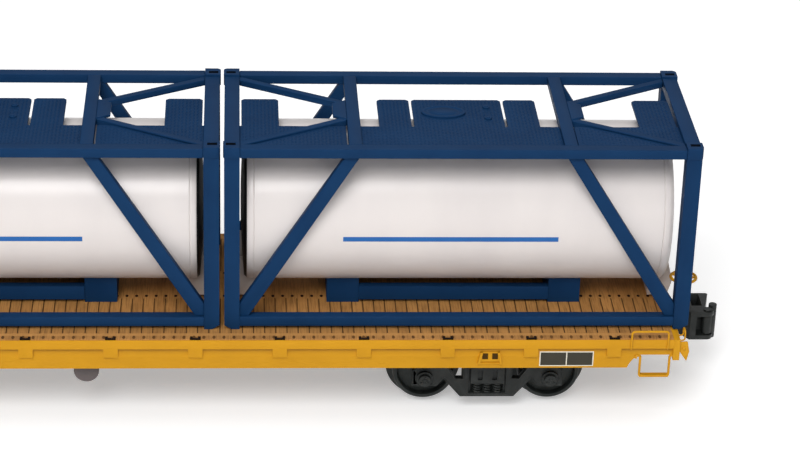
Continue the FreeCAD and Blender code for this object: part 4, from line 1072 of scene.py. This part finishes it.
@dataclass
class Flatcar:
    """The car's body: boards, sills and its small fittings."""

    body: str = "car"
    sill_edge: float = 0.12 * MM
    nail_pitch: float = 2.67 * MM
    nail_row_y: float = 6.85 * MM
    nail_size: Point = (0.95 * MM, 1.4 * MM, 0.06 * MM)
    mark_row_y: float = 30.45 * MM
    mark_size: Point = (0.9 * MM, 1.9 * MM, 0.06 * MM)
    pocket_count: int = 16
    pocket_end: float = 169.3 * MM
    notch_half: float = 1.4 * MM
    tooth_half: float = 0.7 * MM
    notch_y: Point = (30.0 * MM, 30.85 * MM, 31.45 * MM)
    notch_sink: float = 0.3 * MM
    notch_proud: float = 0.04 * MM
    web_inset: float = 0.8 * MM
    thin: float = 0.05 * MM
    panel_x: Flat = (149.2 * MM, 163.9 * MM)
    panel_rise: Flat = (18.5 * MM, 23.0 * MM)
    panel_border: float = 0.3 * MM
    panel_proud: float = 0.12 * MM
    bracket_x: Flat = (132.4 * MM, 139.1 * MM)
    bracket_rise: Flat = (19.4 * MM, 22.9 * MM)
    bracket_plate: float = 0.35 * MM
    foot_bar: Flat = (-0.2 * MM, 0.15 * MM)
    rib_width: float = 0.7 * MM
    rib_depth: float = 0.8 * MM
    hole_width: float = 1.55 * MM
    hole_inset: Flat = (1.4 * MM, 0.3 * MM)
    hole_shares: Flat = (0.3, 0.7)
    wire_radius: float = 0.3 * MM
    bend: float = 1.0 * MM
    grab_width: float = 9.95 * MM
    grab_root: float = 1.5 * MM
    end_wire_radius: float = 0.22 * MM
    end_grab_drop: float = 0.8 * MM
    end_grab_width: float = 2.8 * MM
    step_width: float = 8.0 * MM
    step_wire_radius: float = 0.345 * MM
    step_bend: float = 0.7 * MM
    step_depth: float = 1.3 * MM
    curl: float = 1.3 * MM
    curl_out: float = 0.48 * MM
    lever_edge: float = 0.2 * MM
    pin_place: Flat = (1.2 * MM, 2.0 * MM)
    pin_height: float = 0.4 * MM
    pin_radius: float = 0.5 * MM
    pin_shares: Outline = ((0.0, 0.0), (0.0, 1.0), (0.625, 1.0), (1.0, 0.6), (1.0, 0.0))
    rim_ribs: int = 26
    rim_sides: int = 8
    rib_share: float = 0.08
    hub_radius: float = 1.0 * MM
    hub_shares: Outline = ((-1.0, 0.0), (-1.0, 1.0), (0.4, 1.0), (1.0, 0.6), (1.0, 0.0))
    spokes: int = 5
    spoke_radius: float = 0.36 * MM
    spoke_root: float = 0.5 * MM
    dome_edge: Outline = ((1.6 * MM, 0.25 * MM), (1.5 * MM, 0.0), (0.9 * MM, 0.0), (0.8 * MM, 0.25 * MM),
                          (0.5 * MM, 0.5 * MM))
    dome_drop: float = 0.2 * MM
    dome_shares: Flat = (0.7, 0.4)
    drum_end: float = -27.5 * MM
    drum_radius: float = 3.4 * MM
    drum_edge: float = 0.3 * MM
    drum_sink: float = 0.2 * MM

    def build(self) -> None:
        """Make and dress every piece of the car's body."""
        self.make_deck()
        self.make_sills()
        self.make_web_fittings()
        self.make_grabs()
        self.make_steps()
        self.make_levers()
        self.make_brake_wheel()
        self.make_underframe()

    def make_deck(self) -> None:
        """Paint the boards, and set the rows of nails and the marks along the edge strips."""
        covered(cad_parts["deck_boards"].data, Finish.DECK)
        LOG.info("node deck_boards in %s", Finish.DECK.value.name)
        low, high, middle = extent("deck_boards")
        count = int((high.x - low.x) / self.nail_pitch) - 1
        for name, finish, row_y, size in (("deck_nails", Finish.DECK_NAIL_AND_SHADE, self.nail_row_y, self.nail_size),
                                          ("edge_marks", Finish.DECK_MARK, self.mark_row_y, self.mark_size)):
            rows = StudRows(name, finish)
            mesh = rows.run(Size_X=(count - 1) * self.nail_pitch, Size_Y=2 * row_y, Count_X=count, Count_Y=2,
                            Middle=(middle.x, middle.y, high.z), Head_Size=size)
            keep(name, mesh, finish, self.body)
        self.make_notches(high.z)

    def make_notches(self, top: float) -> None:
        """Lay sheets of painted shade in the stake pockets' openings in the deck's edges, each round a wooden
        tooth.

        Args:
            top: The height of the deck.
        """
        inner, tooth, outer = self.notch_y
        wide, narrow = self.notch_half, self.tooth_half
        half = ((wide, outer), (wide, inner), (narrow, inner), (narrow, tooth))
        pieces = []
        for index in range(self.pocket_count):
            spot = self.pocket_end * (2 * index / (self.pocket_count - 1) - 1)
            for side in (-1, 1):
                outline = [(spot + across, side * out) for across, out in half]
                outline += [(spot - across, side * out) for across, out in reversed(half)]
                # Each sheet is painted shade, standing in for the dark inside of a stake pocket
                pieces.append(prism(outline, "Z", top - self.notch_sink, top + self.notch_proud))
        keep("pocket_opening_shade", joined(pieces), Finish.DECK_NAIL_AND_SHADE, self.body)

    def make_sills(self) -> None:
        """Round the edges of the four sills."""
        for node in ("side_sill_near", "side_sill_far", "end_sill_a", "end_sill_b"):
            keep(f"{node}_rounded", bevelled(node, self.sill_edge), Finish.CAR_YELLOW, self.body, node)

    def make_web_fittings(self) -> None:
        """Set the blank double panel on the near web, and a two-hole bracket on both webs."""
        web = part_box("side_sill_near")[0].y + self.web_inset
        face, border = web - self.panel_proud, self.panel_border
        start, end = self.panel_x
        low, high = self.panel_rise
        middle = (start + end) / 2
        pieces = [covered(block((start, face, low), (end, web + self.thin, high)), Finish.PANEL_WHITE)]
        for first, last in ((start + border, middle - border / 2), (middle + border / 2, end - border)):
            plate = block((first, face - self.thin, low + border), (last, face, high - border))
            pieces.append(covered(plate, Finish.PANEL_BLACK))
        keep("data_panel", joined(pieces), Finish.PANEL_WHITE, self.body)
        bracket = self.bracket(web)
        keep("web_brackets", joined([bracket, flipped(bracket, -1, 1)]), Finish.CAR_YELLOW, self.body)

    def bracket(self, web: float) -> Mesh:
        """Build the near bracket: a plate with two openings, each shown by a sheet of painted shade, between
        slanting ribs, on a foot bar.

        Args:
            web: The web's outer face.

        Returns:
            The bracket, with its finishes.
        """
        start, end = self.bracket_x
        low, high = self.bracket_rise
        width, thin = self.rib_width, self.thin
        face, back = web - self.bracket_plate, web + thin
        solids = [block((start + width, face, low + width), (end - width, back, high), thin),
                  block((start, face, low + self.foot_bar[0]), (end, back, low + self.foot_bar[1]), thin)]
        for foot, top in ((start, start + width), (end - width, end - 2 * width)):
            outline = [(foot, low), (foot + width, low), (top + width, high), (top, high)]
            solids.append(prism(outline, "Y", web - self.rib_depth, back, thin))
        pieces = [covered(solid, Finish.CAR_YELLOW) for solid in solids]
        # Each opening is a thin sheet of painted shade on the plate's face
        for share in self.hole_shares:
            middle = start + share * (end - start)
            hole = block((middle - self.hole_width / 2, face - thin, low + self.hole_inset[0]),
                         (middle + self.hole_width / 2, face, high - self.hole_inset[1]))
            pieces.append(covered(hole, Finish.RECESS_PAINTED_SHADE))
        return joined(pieces)

    def make_grabs(self) -> None:
        """Bend the round grab irons at the four corners and the small ones on the end sills."""
        low, high, _ = extent("grab_irons")
        radius = self.wire_radius
        right, line, root = high.x - radius, low.y + radius, low.y + self.grab_root
        left, foot, top = right - self.grab_width, low.z + radius, high.z - radius
        grab = [(left, root, foot), (left, line, foot), (left, line, top),
                (right, line, top), (right, line, foot), (right, root, foot)]
        keep("grab_iron_wires", at_corners(wire(grab, radius, self.bend)), Finish.CAR_YELLOW, self.body,
             "grab_irons")
        low, high, _ = extent("end_grabs")
        radius = self.end_wire_radius
        sill, out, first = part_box("end_sill_a")[1].x, high.x - radius, low.y + radius
        foot, top, last = low.z + radius, high.z - radius - self.end_grab_drop, first + self.end_grab_width
        grab = [(sill, first, foot), (out, first, foot), (out, first, top),
                (out, last, top), (out, last, foot), (sill, last, foot)]
        keep("end_grab_wires", at_corners(wire(grab, radius, self.bend)), Finish.CAR_YELLOW, self.body,
             "end_grabs")

    def make_steps(self) -> None:
        """Bend the stirrup steps with their curled feet and flat treads."""
        low, high, _ = extent("stirrup_steps")
        radius, curl = self.wire_radius, self.curl
        right, line, bottom, top = high.x - radius, low.y + radius, low.z + radius, high.z - radius
        left, front = right - self.step_width, line - self.curl_out
        points = [(left - curl, front, top - curl / 2), (left - curl, front, top), (left, line, top),
                  (left, line, bottom), (right, line, bottom), (right, line, top), (right + curl, front, top),
                  (right + curl, front, top - curl / 2)]
        tread = block((left, line - radius, bottom - radius),
                      (right, line + self.step_depth, bottom + radius), radius / 3)
        step = joined([wire(points, self.step_wire_radius, self.step_bend), tread])
        keep("stirrup_wires", at_corners(step), Finish.CAR_YELLOW, self.body, "stirrup_steps")

    def make_levers(self) -> None:
        """Round the leaf-shaped uncoupling levers and pin them to the end sills."""
        node = "uncoupling_levers"
        low, high, _ = extent(node)
        out, drop = self.pin_place
        head = lathe(scaled(self.pin_shares, -self.pin_height, self.pin_radius), "Y",
                     Vector((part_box("end_sill_a")[1].x + out, low.y, high.z - drop)), 20)
        keep("lever_plates", joined([bevelled(node, self.lever_edge), at_corners(head)]), Finish.CAR_YELLOW,
             self.body, node)

    def make_brake_wheel(self) -> None:
        """Build the brake wheel's ribbed rim, its dished spokes and its hub, and round the staff."""
        low, high, middle = extent("brake_wheel")
        outer, thick = (high.x - low.x) / 2, (high.z - low.z) / 2
        work = bmesh.new()
        steps = self.rim_ribs * 4
        ways = [TURN * side / self.rim_sides for side in range(self.rim_sides)]
        rings = []
        for step in range(steps):
            angle = TURN * step / steps
            swell = thick * (1 - self.rib_share + self.rib_share * math.cos(self.rim_ribs * angle))
            flats = [(swell * math.sin(way), outer - thick + swell * math.cos(way)) for way in ways]
            rings.append([work.verts.new(middle + turned(flat, angle, "Z")) for flat in flats])
        for near, far in zip(rings, rings[1:] + rings[:1]):
            bridge(work, near, far)
        hub = scaled(self.hub_shares, thick, self.hub_radius)
        pieces = [finished(work, "rim", 50), lathe(hub, "Z", middle, 32)]
        for spoke in range(self.spokes):
            points = [middle + turned(point, TURN * spoke / self.spokes, "Z") for point in
                      ((0.0, self.spoke_root), (-thick / 2, outer / 2), (0.0, outer - thick))]
            pieces.append(wire(points, self.spoke_radius, self.bend))
        keep("brake_wheel_spoked", joined(pieces), Finish.CAR_YELLOW, self.body, "brake_wheel")
        keep("brake_staff_rounded", bevelled("brake_staff", self.sill_edge), Finish.CAR_YELLOW, self.body,
             "brake_staff")

    def make_underframe(self) -> None:
        """Round the pieces under the deck, and dome the reservoir's and the cylinder's ends."""
        for node in ("centre_sill", "body_bolsters", "kingpins", "cross_bearers", "brake_valve"):
            keep(f"{node}_rounded", bevelled(node, self.sill_edge), Finish.FRAME_BLACK, self.body, node)
        for node, axis in (("air_reservoir", "Y"), ("brake_cylinder", "X")):
            low, high, middle = extent(node)
            index = "XYZ".index(axis)
            half, radius = (high[index] - low[index]) / 2, (high.z - low.z) / 2
            right = [(half - back, radius - drop) for back, drop in self.dome_edge]
            right += [(half - self.dome_drop, self.dome_shares[0] * radius),
                      (half, self.dome_shares[1] * radius), (half, 0.0)]
            keep(f"{node}_domed", lathe(mirrored(right), axis, middle, 64), Finish.TANK_GREY, self.body, node)
        low, _, middle = extent("air_reservoir")
        start, end = self.drum_end - middle.y, low.y + self.drum_sink - middle.y
        radius, edge = self.drum_radius, self.drum_edge
        drum = [(start, 0.0), (start, radius - edge), (start + edge, radius), (end, radius), (end, 0.0)]
        keep("reservoir_drum", lathe(drum, "Y", middle, 64), Finish.TANK_GREY, self.body)


@dataclass
class Truck:
    """One truck with its side frames, springs, wheelsets and coupler."""

    letter: str
    coils: CoilRow
    cast_edge: float = 0.15 * MM
    frame_outer: float = 23.5 * MM
    lip_width: float = 0.45 * MM
    lip_depth: float = 0.3 * MM
    axle_rise: float = 10.3 * MM
    wheelbase: float = 34.54 * MM
    cap_end: float = 25.0 * MM
    hub_outline: Outline = ((-0.1, 0.0), (-0.1, 0.8), (0.15, 0.7), (0.15, 0.45), (0.05, 0.35), (0.05, 0.0))
    bolt_outline: Outline = ((-0.1, 0.0), (-0.1, 0.3), (0.2, 0.3), (0.26, 0.2), (0.26, 0.0))
    bolt_circle: float = 1.2 * MM
    bolts: int = 3
    hood_reach: Flat = (2.45 * MM, 2.05 * MM)
    hood_degrees: Flat = (25, 155)
    hood_steps: int = 10
    hood_depth: Flat = (0.75 * MM, 0.5 * MM)
    window_half: float = 7.0 * MM
    liner_y: Flat = (-21.2 * MM, -20.4 * MM)
    liner_z: Flat = (5.2 * MM, 9.4 * MM)
    cheek_start: float = 4.5 * MM
    cheek_y: Flat = (-22.6 * MM, -21.0 * MM)
    cheek_z: Flat = (5.8 * MM, 14.0 * MM)
    springs: int = 3
    spring_radius: float = 1.3 * MM
    spring_step: float = 2.8 * MM
    coil_wire: float = 0.27 * MM
    coil_turns: float = 3.5
    tread_radius: float = 8.7 * MM
    flange_radius: float = 10.3 * MM
    wheel_back: float = 13.8 * MM
    wheel_front: float = 19.2 * MM
    shaft_radius: float = 1.25 * MM
    journal_radius: float = 0.9 * MM
    hub_radius: float = 2.6 * MM

    def __post_init__(self) -> None:
        """Read the truck's body and place."""
        self.body = self.own("truck")
        self.middle_x = extent(self.own("truck_bolster"))[2].x

    def own(self, part: str) -> str:
        """Name one of this truck's nodes, pieces or bodies."""
        return f"{part}_{self.letter}"

    def build(self) -> None:
        """Make and dress every piece of the truck."""
        self.make_side_frames()
        self.make_bearings()
        self.make_bolster()
        self.make_liners()
        self.make_springs()
        self.make_coupler()
        for axle in AXLES:
            self.make_wheelset(axle)

    def make_side_frames(self) -> None:
        """Round both side frames and sink their outer faces inside a raised lip."""
        square, near = 0.99, 0.05 * MM
        for side in ("near", "far"):
            node = self.own(f"side_frame_{side}")
            outward = math.copysign(1, extent(node)[2].y)
            work = merged(node)
            faces = [face for face in work.faces
                     if face.normal.y * outward > square
                     and abs(face.calc_center_median().y - outward * self.frame_outer) < near]
            bmesh.ops.inset_region(work, faces=faces, thickness=self.lip_width, depth=-self.lip_depth,
                                   use_boundary=True, use_even_offset=True)
            mesh = rounded(drawn(work, f"{node}_lipped"), self.cast_edge / 2)
            keep(f"{node}_cast", mesh, Finish.TRUCK_BLACK, self.body, node)

    def make_bearings(self) -> None:
        """Set a hub and three bolts on each bearing cap, and an arched hood over it."""
        pieces = []
        for step in (-1, 1):
            pieces += self.bearing(Vector((self.middle_x + step * self.wheelbase / 2, 0, self.axle_rise)))
        keep(self.own("bearing_caps"), on_both_sides(joined(pieces)), Finish.TRUCK_BLACK, self.body)

    def on_cap(self, outline: Outline, spot: Vector, steps: int) -> Mesh:
        """Turn a fitting on a near bearing cap, from an outline in mm out from the cap's face."""
        return lathe([(-self.cap_end - along * MM, out * MM) for along, out in outline], "Y", spot, steps)

    def bearing(self, spot: Vector) -> list[Mesh]:
        """Build one near bearing's hub, bolts and hood.

        Args:
            spot: The axle's place on the car's centre line.

        Returns:
            The meshes.
        """
        pieces = [self.on_cap(self.hub_outline, spot, 32)]
        for index in range(self.bolts):
            place = spot + turned((0.0, self.bolt_circle), TURN / 4 + TURN * index / self.bolts, "Y")
            pieces.append(self.on_cap(self.bolt_outline, place, 6))
        start, end = self.hood_degrees
        angles = [math.radians(start + (end - start) * step / self.hood_steps)
                  for step in range(self.hood_steps + 1)]
        hood = [(spot.x + reach * math.cos(angle), spot.z + reach * math.sin(angle))
                for reach, order in zip(self.hood_reach, (1, -1)) for angle in angles[::order]]
        out, back = self.hood_depth
        pieces.append(prism(hood, "Y", -self.frame_outer - out, -self.frame_outer + back))
        return pieces

    def make_bolster(self) -> None:
        """Round the bolster."""
        node = self.own("truck_bolster")
        keep(f"{node}_cast", bevelled(node, self.cast_edge), Finish.TRUCK_BLACK, self.body, node)

    def make_liners(self) -> None:
        """Close the side frames' windows behind the springs and beside the bolster's ends."""
        spot, half, start = self.middle_x, self.window_half, self.cheek_start
        pieces = [block((spot + first, y[0], z[0]), (spot + last, y[1], z[1])) for first, last, y, z in
                  ((-half, half, self.liner_y, self.liner_z), (-half, -start, self.cheek_y, self.cheek_z),
                   (start, half, self.cheek_y, self.cheek_z))]
        keep(self.own("window_liners"), on_both_sides(joined(pieces)), Finish.TRUCK_BLACK, self.body)

    def make_springs(self) -> None:
        """Wind the coil springs under both bolster ends."""
        node, thin = self.own("truck_springs"), self.coil_wire
        low, high, middle = extent(node)
        start_x, start_y, start_z = middle.x - self.spring_step, high.y - self.spring_radius, low.z + thin
        rows = [self.coils.run(Turns=self.coil_turns, Coil_Radius=self.spring_radius - thin,
                               Wire_Radius=thin, Height=high.z - low.z - 2 * thin, Count=self.springs,
                               Start=(start_x, side * start_y, start_z), Step=(self.spring_step, 0, 0))
                for side in (-1, 1)]
        keep(self.own("coil_springs"), smoothed(joined(rows), 70), Finish.TRUCK_BLACK, self.body, node)

    def make_coupler(self) -> None:
        """Round the coupler and its knuckle."""
        for part, body in (("coupler", self.body), ("knuckle", self.own("coupler_knuckle"))):
            node = self.own(part)
            keep(f"{node}_cast", bevelled(node, 2 * self.cast_edge, 3), Finish.TRUCK_BLACK, body, node)

    def make_wheelset(self, axle: str) -> None:
        """Turn one axle with both wheels, their fillets, hubs and rims.

        Args:
            axle: "outer" or "inner".
        """
        node = f"{self.own('wheelset')}_{axle}"
        _, high, middle = extent(node)
        back, front = self.wheel_back, self.wheel_front
        tread, tip = self.tread_radius, self.flange_radius
        shaft, journal, hub = self.shaft_radius, self.journal_radius, self.hub_radius
        half = [
            (0.0, shaft), (back - 0.8 * MM, shaft), (back - 0.8 * MM, hub - 0.3 * MM), (back, hub),
            (back + 0.6 * MM, hub + 0.5 * MM), (back + 0.6 * MM, tread - 1.9 * MM), (back, tread - 1.3 * MM),
            (back, tip - 0.25 * MM), (back + 0.1 * MM, tip), (back + 0.35 * MM, tip),
            (back + 0.75 * MM, tip - 0.7 * MM), (back + 1.1 * MM, tread + 0.35 * MM),
            (back + 1.5 * MM, tread),
            (front - 0.3 * MM, tread - 0.25 * MM), (front, tread - 0.5 * MM), (front, tread - 1.3 * MM),
            (front - 0.3 * MM, tread - 1.5 * MM), (front - 1.5 * MM, tread - 1.7 * MM),
            (front - 1.45 * MM, tread - 2.6 * MM), (front - 0.9 * MM, hub + 0.8 * MM),
            (front - 0.8 * MM, hub), (front + 0.3 * MM, hub - 0.1 * MM),
            (front + 0.4 * MM, hub - 0.3 * MM), (front + 0.4 * MM, journal),
            (high.y, journal), (high.y, 0.0),
        ]
        keep(f"{node}_turned", lathe(mirrored(half), "Y", middle, 96), Finish.WHEEL_BLACK,
             f"{self.own('axle')}_{axle}", node)


@dataclass(frozen=True)
class Lamp:
    """One soft round light: its power, its width, where it hangs and where it points."""

    name: str
    power: float
    width: float
    place: Point
    aim: Point

    def hang(self) -> None:
        """Put the light into the scene."""
        light = bpy.data.lights.new(self.name, "AREA")
        light.energy = self.power
        light.shape = "DISK"
        light.size = self.width
        lamp = shown(self.name, light)
        lamp.visible_camera = False
        lamp.location = self.place
        lamp.rotation_euler = (Vector(self.aim) - Vector(self.place)).to_track_quat("-Z", "Y").to_euler()


@dataclass(frozen=True)
class Studio:
    """The pale floor, the soft lights and the camera at the photograph's viewing angle."""

    lens_pixels: float = 2652.0
    frame_width: float = 800.0
    sensor: float = 36.0
    shift_up: float = 0.05
    yaw: float = -0.06938
    pitch: float = 0.47903
    roll: float = 0.03238
    eye: Point = (67.43 * MM, -653.40 * MM, 370.32 * MM)
    nearest: float = 0.01
    floor_half: float = 6.0
    floor_colour: Colour = (0.86, 0.86, 0.86)
    floor_roughness: float = 0.9
    floor_specular: float = 0.1
    floor_glow: float = 0.36
    sky_fill: float = 0.26
    lamps: tuple[Lamp, ...] = (
        Lamp("top_light", 3.0, 1.0, (0.1, -0.1, 1.3), (0.05, 0, 0.03)),
        Lamp("key_light", 14.0, 0.7, (-0.15, -0.99, 1.06), (0.05, 0, 0.04)),
        Lamp("front_light", 3.2, 1.0, (0.2, -1.4, 0.25), (0.05, 0, 0.04)),
        Lamp("back_light", 2.4, 1.0, (0.3, 0.95, 1.0), (0.05, 0, 0.04)),
    )

    def build(self) -> None:
        """Make the floor, the world, the lights and the camera."""
        self.make_floor()
        self.make_world()
        for lamp in self.lamps:
            lamp.hang()
        self.make_camera()

    def make_floor(self) -> None:
        """Lay a wide pale floor under the wheels, a little brighter to the camera, and clear from below."""
        shader = Shader("studio_floor", self.floor_roughness, self.floor_specular)
        shader.colour(self.floor_colour)
        path = shader.add("ShaderNodeLightPath").outputs
        seen = shader.maths("MAXIMUM", path["Is Camera Ray"], path["Is Glossy Ray"])
        glow = shader.add("ShaderNodeEmission", Strength=shader.maths("MULTIPLY", seen, self.floor_glow))
        both = shader.add("ShaderNodeAddShader", at0=shader.surface.outputs["BSDF"],
                          at1=glow.outputs["Emission"])
        behind = shader.add("ShaderNodeNewGeometry").outputs["Backfacing"]
        glass = shader.add("ShaderNodeBsdfTransparent").outputs["BSDF"]
        clear = shader.add("ShaderNodeMixShader", Fac=behind, at1=both.outputs["Shader"], at2=glass)
        shader.put(clear.outputs["Shader"], shader.tree.nodes["Material Output"].inputs["Surface"])
        half = self.floor_half
        mesh = bpy.data.meshes.new("floor")
        corners = [(-half, -half, 0), (half, -half, 0), (half, half, 0), (-half, half, 0)]
        mesh.from_pydata(corners, [], [(0, 1, 2, 3)])
        mesh.materials.append(shader.material)
        shown("floor", mesh)

    def make_world(self) -> None:
        """Light everything softly, with a white sky for the camera and for what looks through glass."""
        world = bpy.data.worlds.new("studio_world")
        bpy.context.scene.world = world
        world.use_nodes = True
        nodes = Nodes(world.node_tree)
        nodes.tree.nodes.clear()
        path = nodes.add("ShaderNodeLightPath").outputs
        seen = nodes.maths("MAXIMUM", path["Is Camera Ray"], path["Is Transmission Ray"])
        fill, white = (nodes.add("ShaderNodeBackground", Color=(1, 1, 1), Strength=strength)
                       for strength in (self.sky_fill, 1.0))
        mixed = nodes.add("ShaderNodeMixShader", Fac=seen, at1=fill.outputs["Background"],
                          at2=white.outputs["Background"])
        nodes.add("ShaderNodeOutputWorld", Surface=mixed.outputs["Shader"])

    def make_camera(self) -> None:
        """Set the camera where the photograph was taken from."""
        forward = Vector((-math.sin(self.yaw) * math.cos(self.pitch),
                          math.cos(self.yaw) * math.cos(self.pitch), -math.sin(self.pitch)))
        level = Vector((math.cos(self.yaw), math.sin(self.yaw), 0))
        upward = level.cross(forward)
        right = level * math.cos(self.roll) + upward * math.sin(self.roll)
        top = upward * math.cos(self.roll) - level * math.sin(self.roll)
        data = bpy.data.cameras.new("camera")
        data.sensor_width = self.sensor
        data.lens = self.lens_pixels / self.frame_width * self.sensor
        data.shift_y = self.shift_up
        data.clip_start = self.nearest
        camera = shown("camera", data)
        turn = Matrix((right, top, -forward)).transposed().to_4x4()
        camera.matrix_world = Matrix.Translation(Vector(self.eye)) @ turn
        bpy.context.scene.camera = camera


def main() -> None:
    """Build the looks: car, trucks, containers and studio."""
    logging.basicConfig(level=logging.INFO, format="%(name)s: %(message)s")
    bpy.context.scene.view_settings.view_transform = "Standard"
    Flatcar().build()
    coils = CoilRow(Finish.TRUCK_BLACK)
    for letter in TRUCKS:
        Truck(letter, coils).build()
    tread = TreadPattern(Finish.CONTAINER_BLUE)
    for number in CONTAINERS:
        TankContainer(number, tread).build()
    Studio().build()
    bpy.context.view_layer.update()


if __name__ == "__main__":
    main()
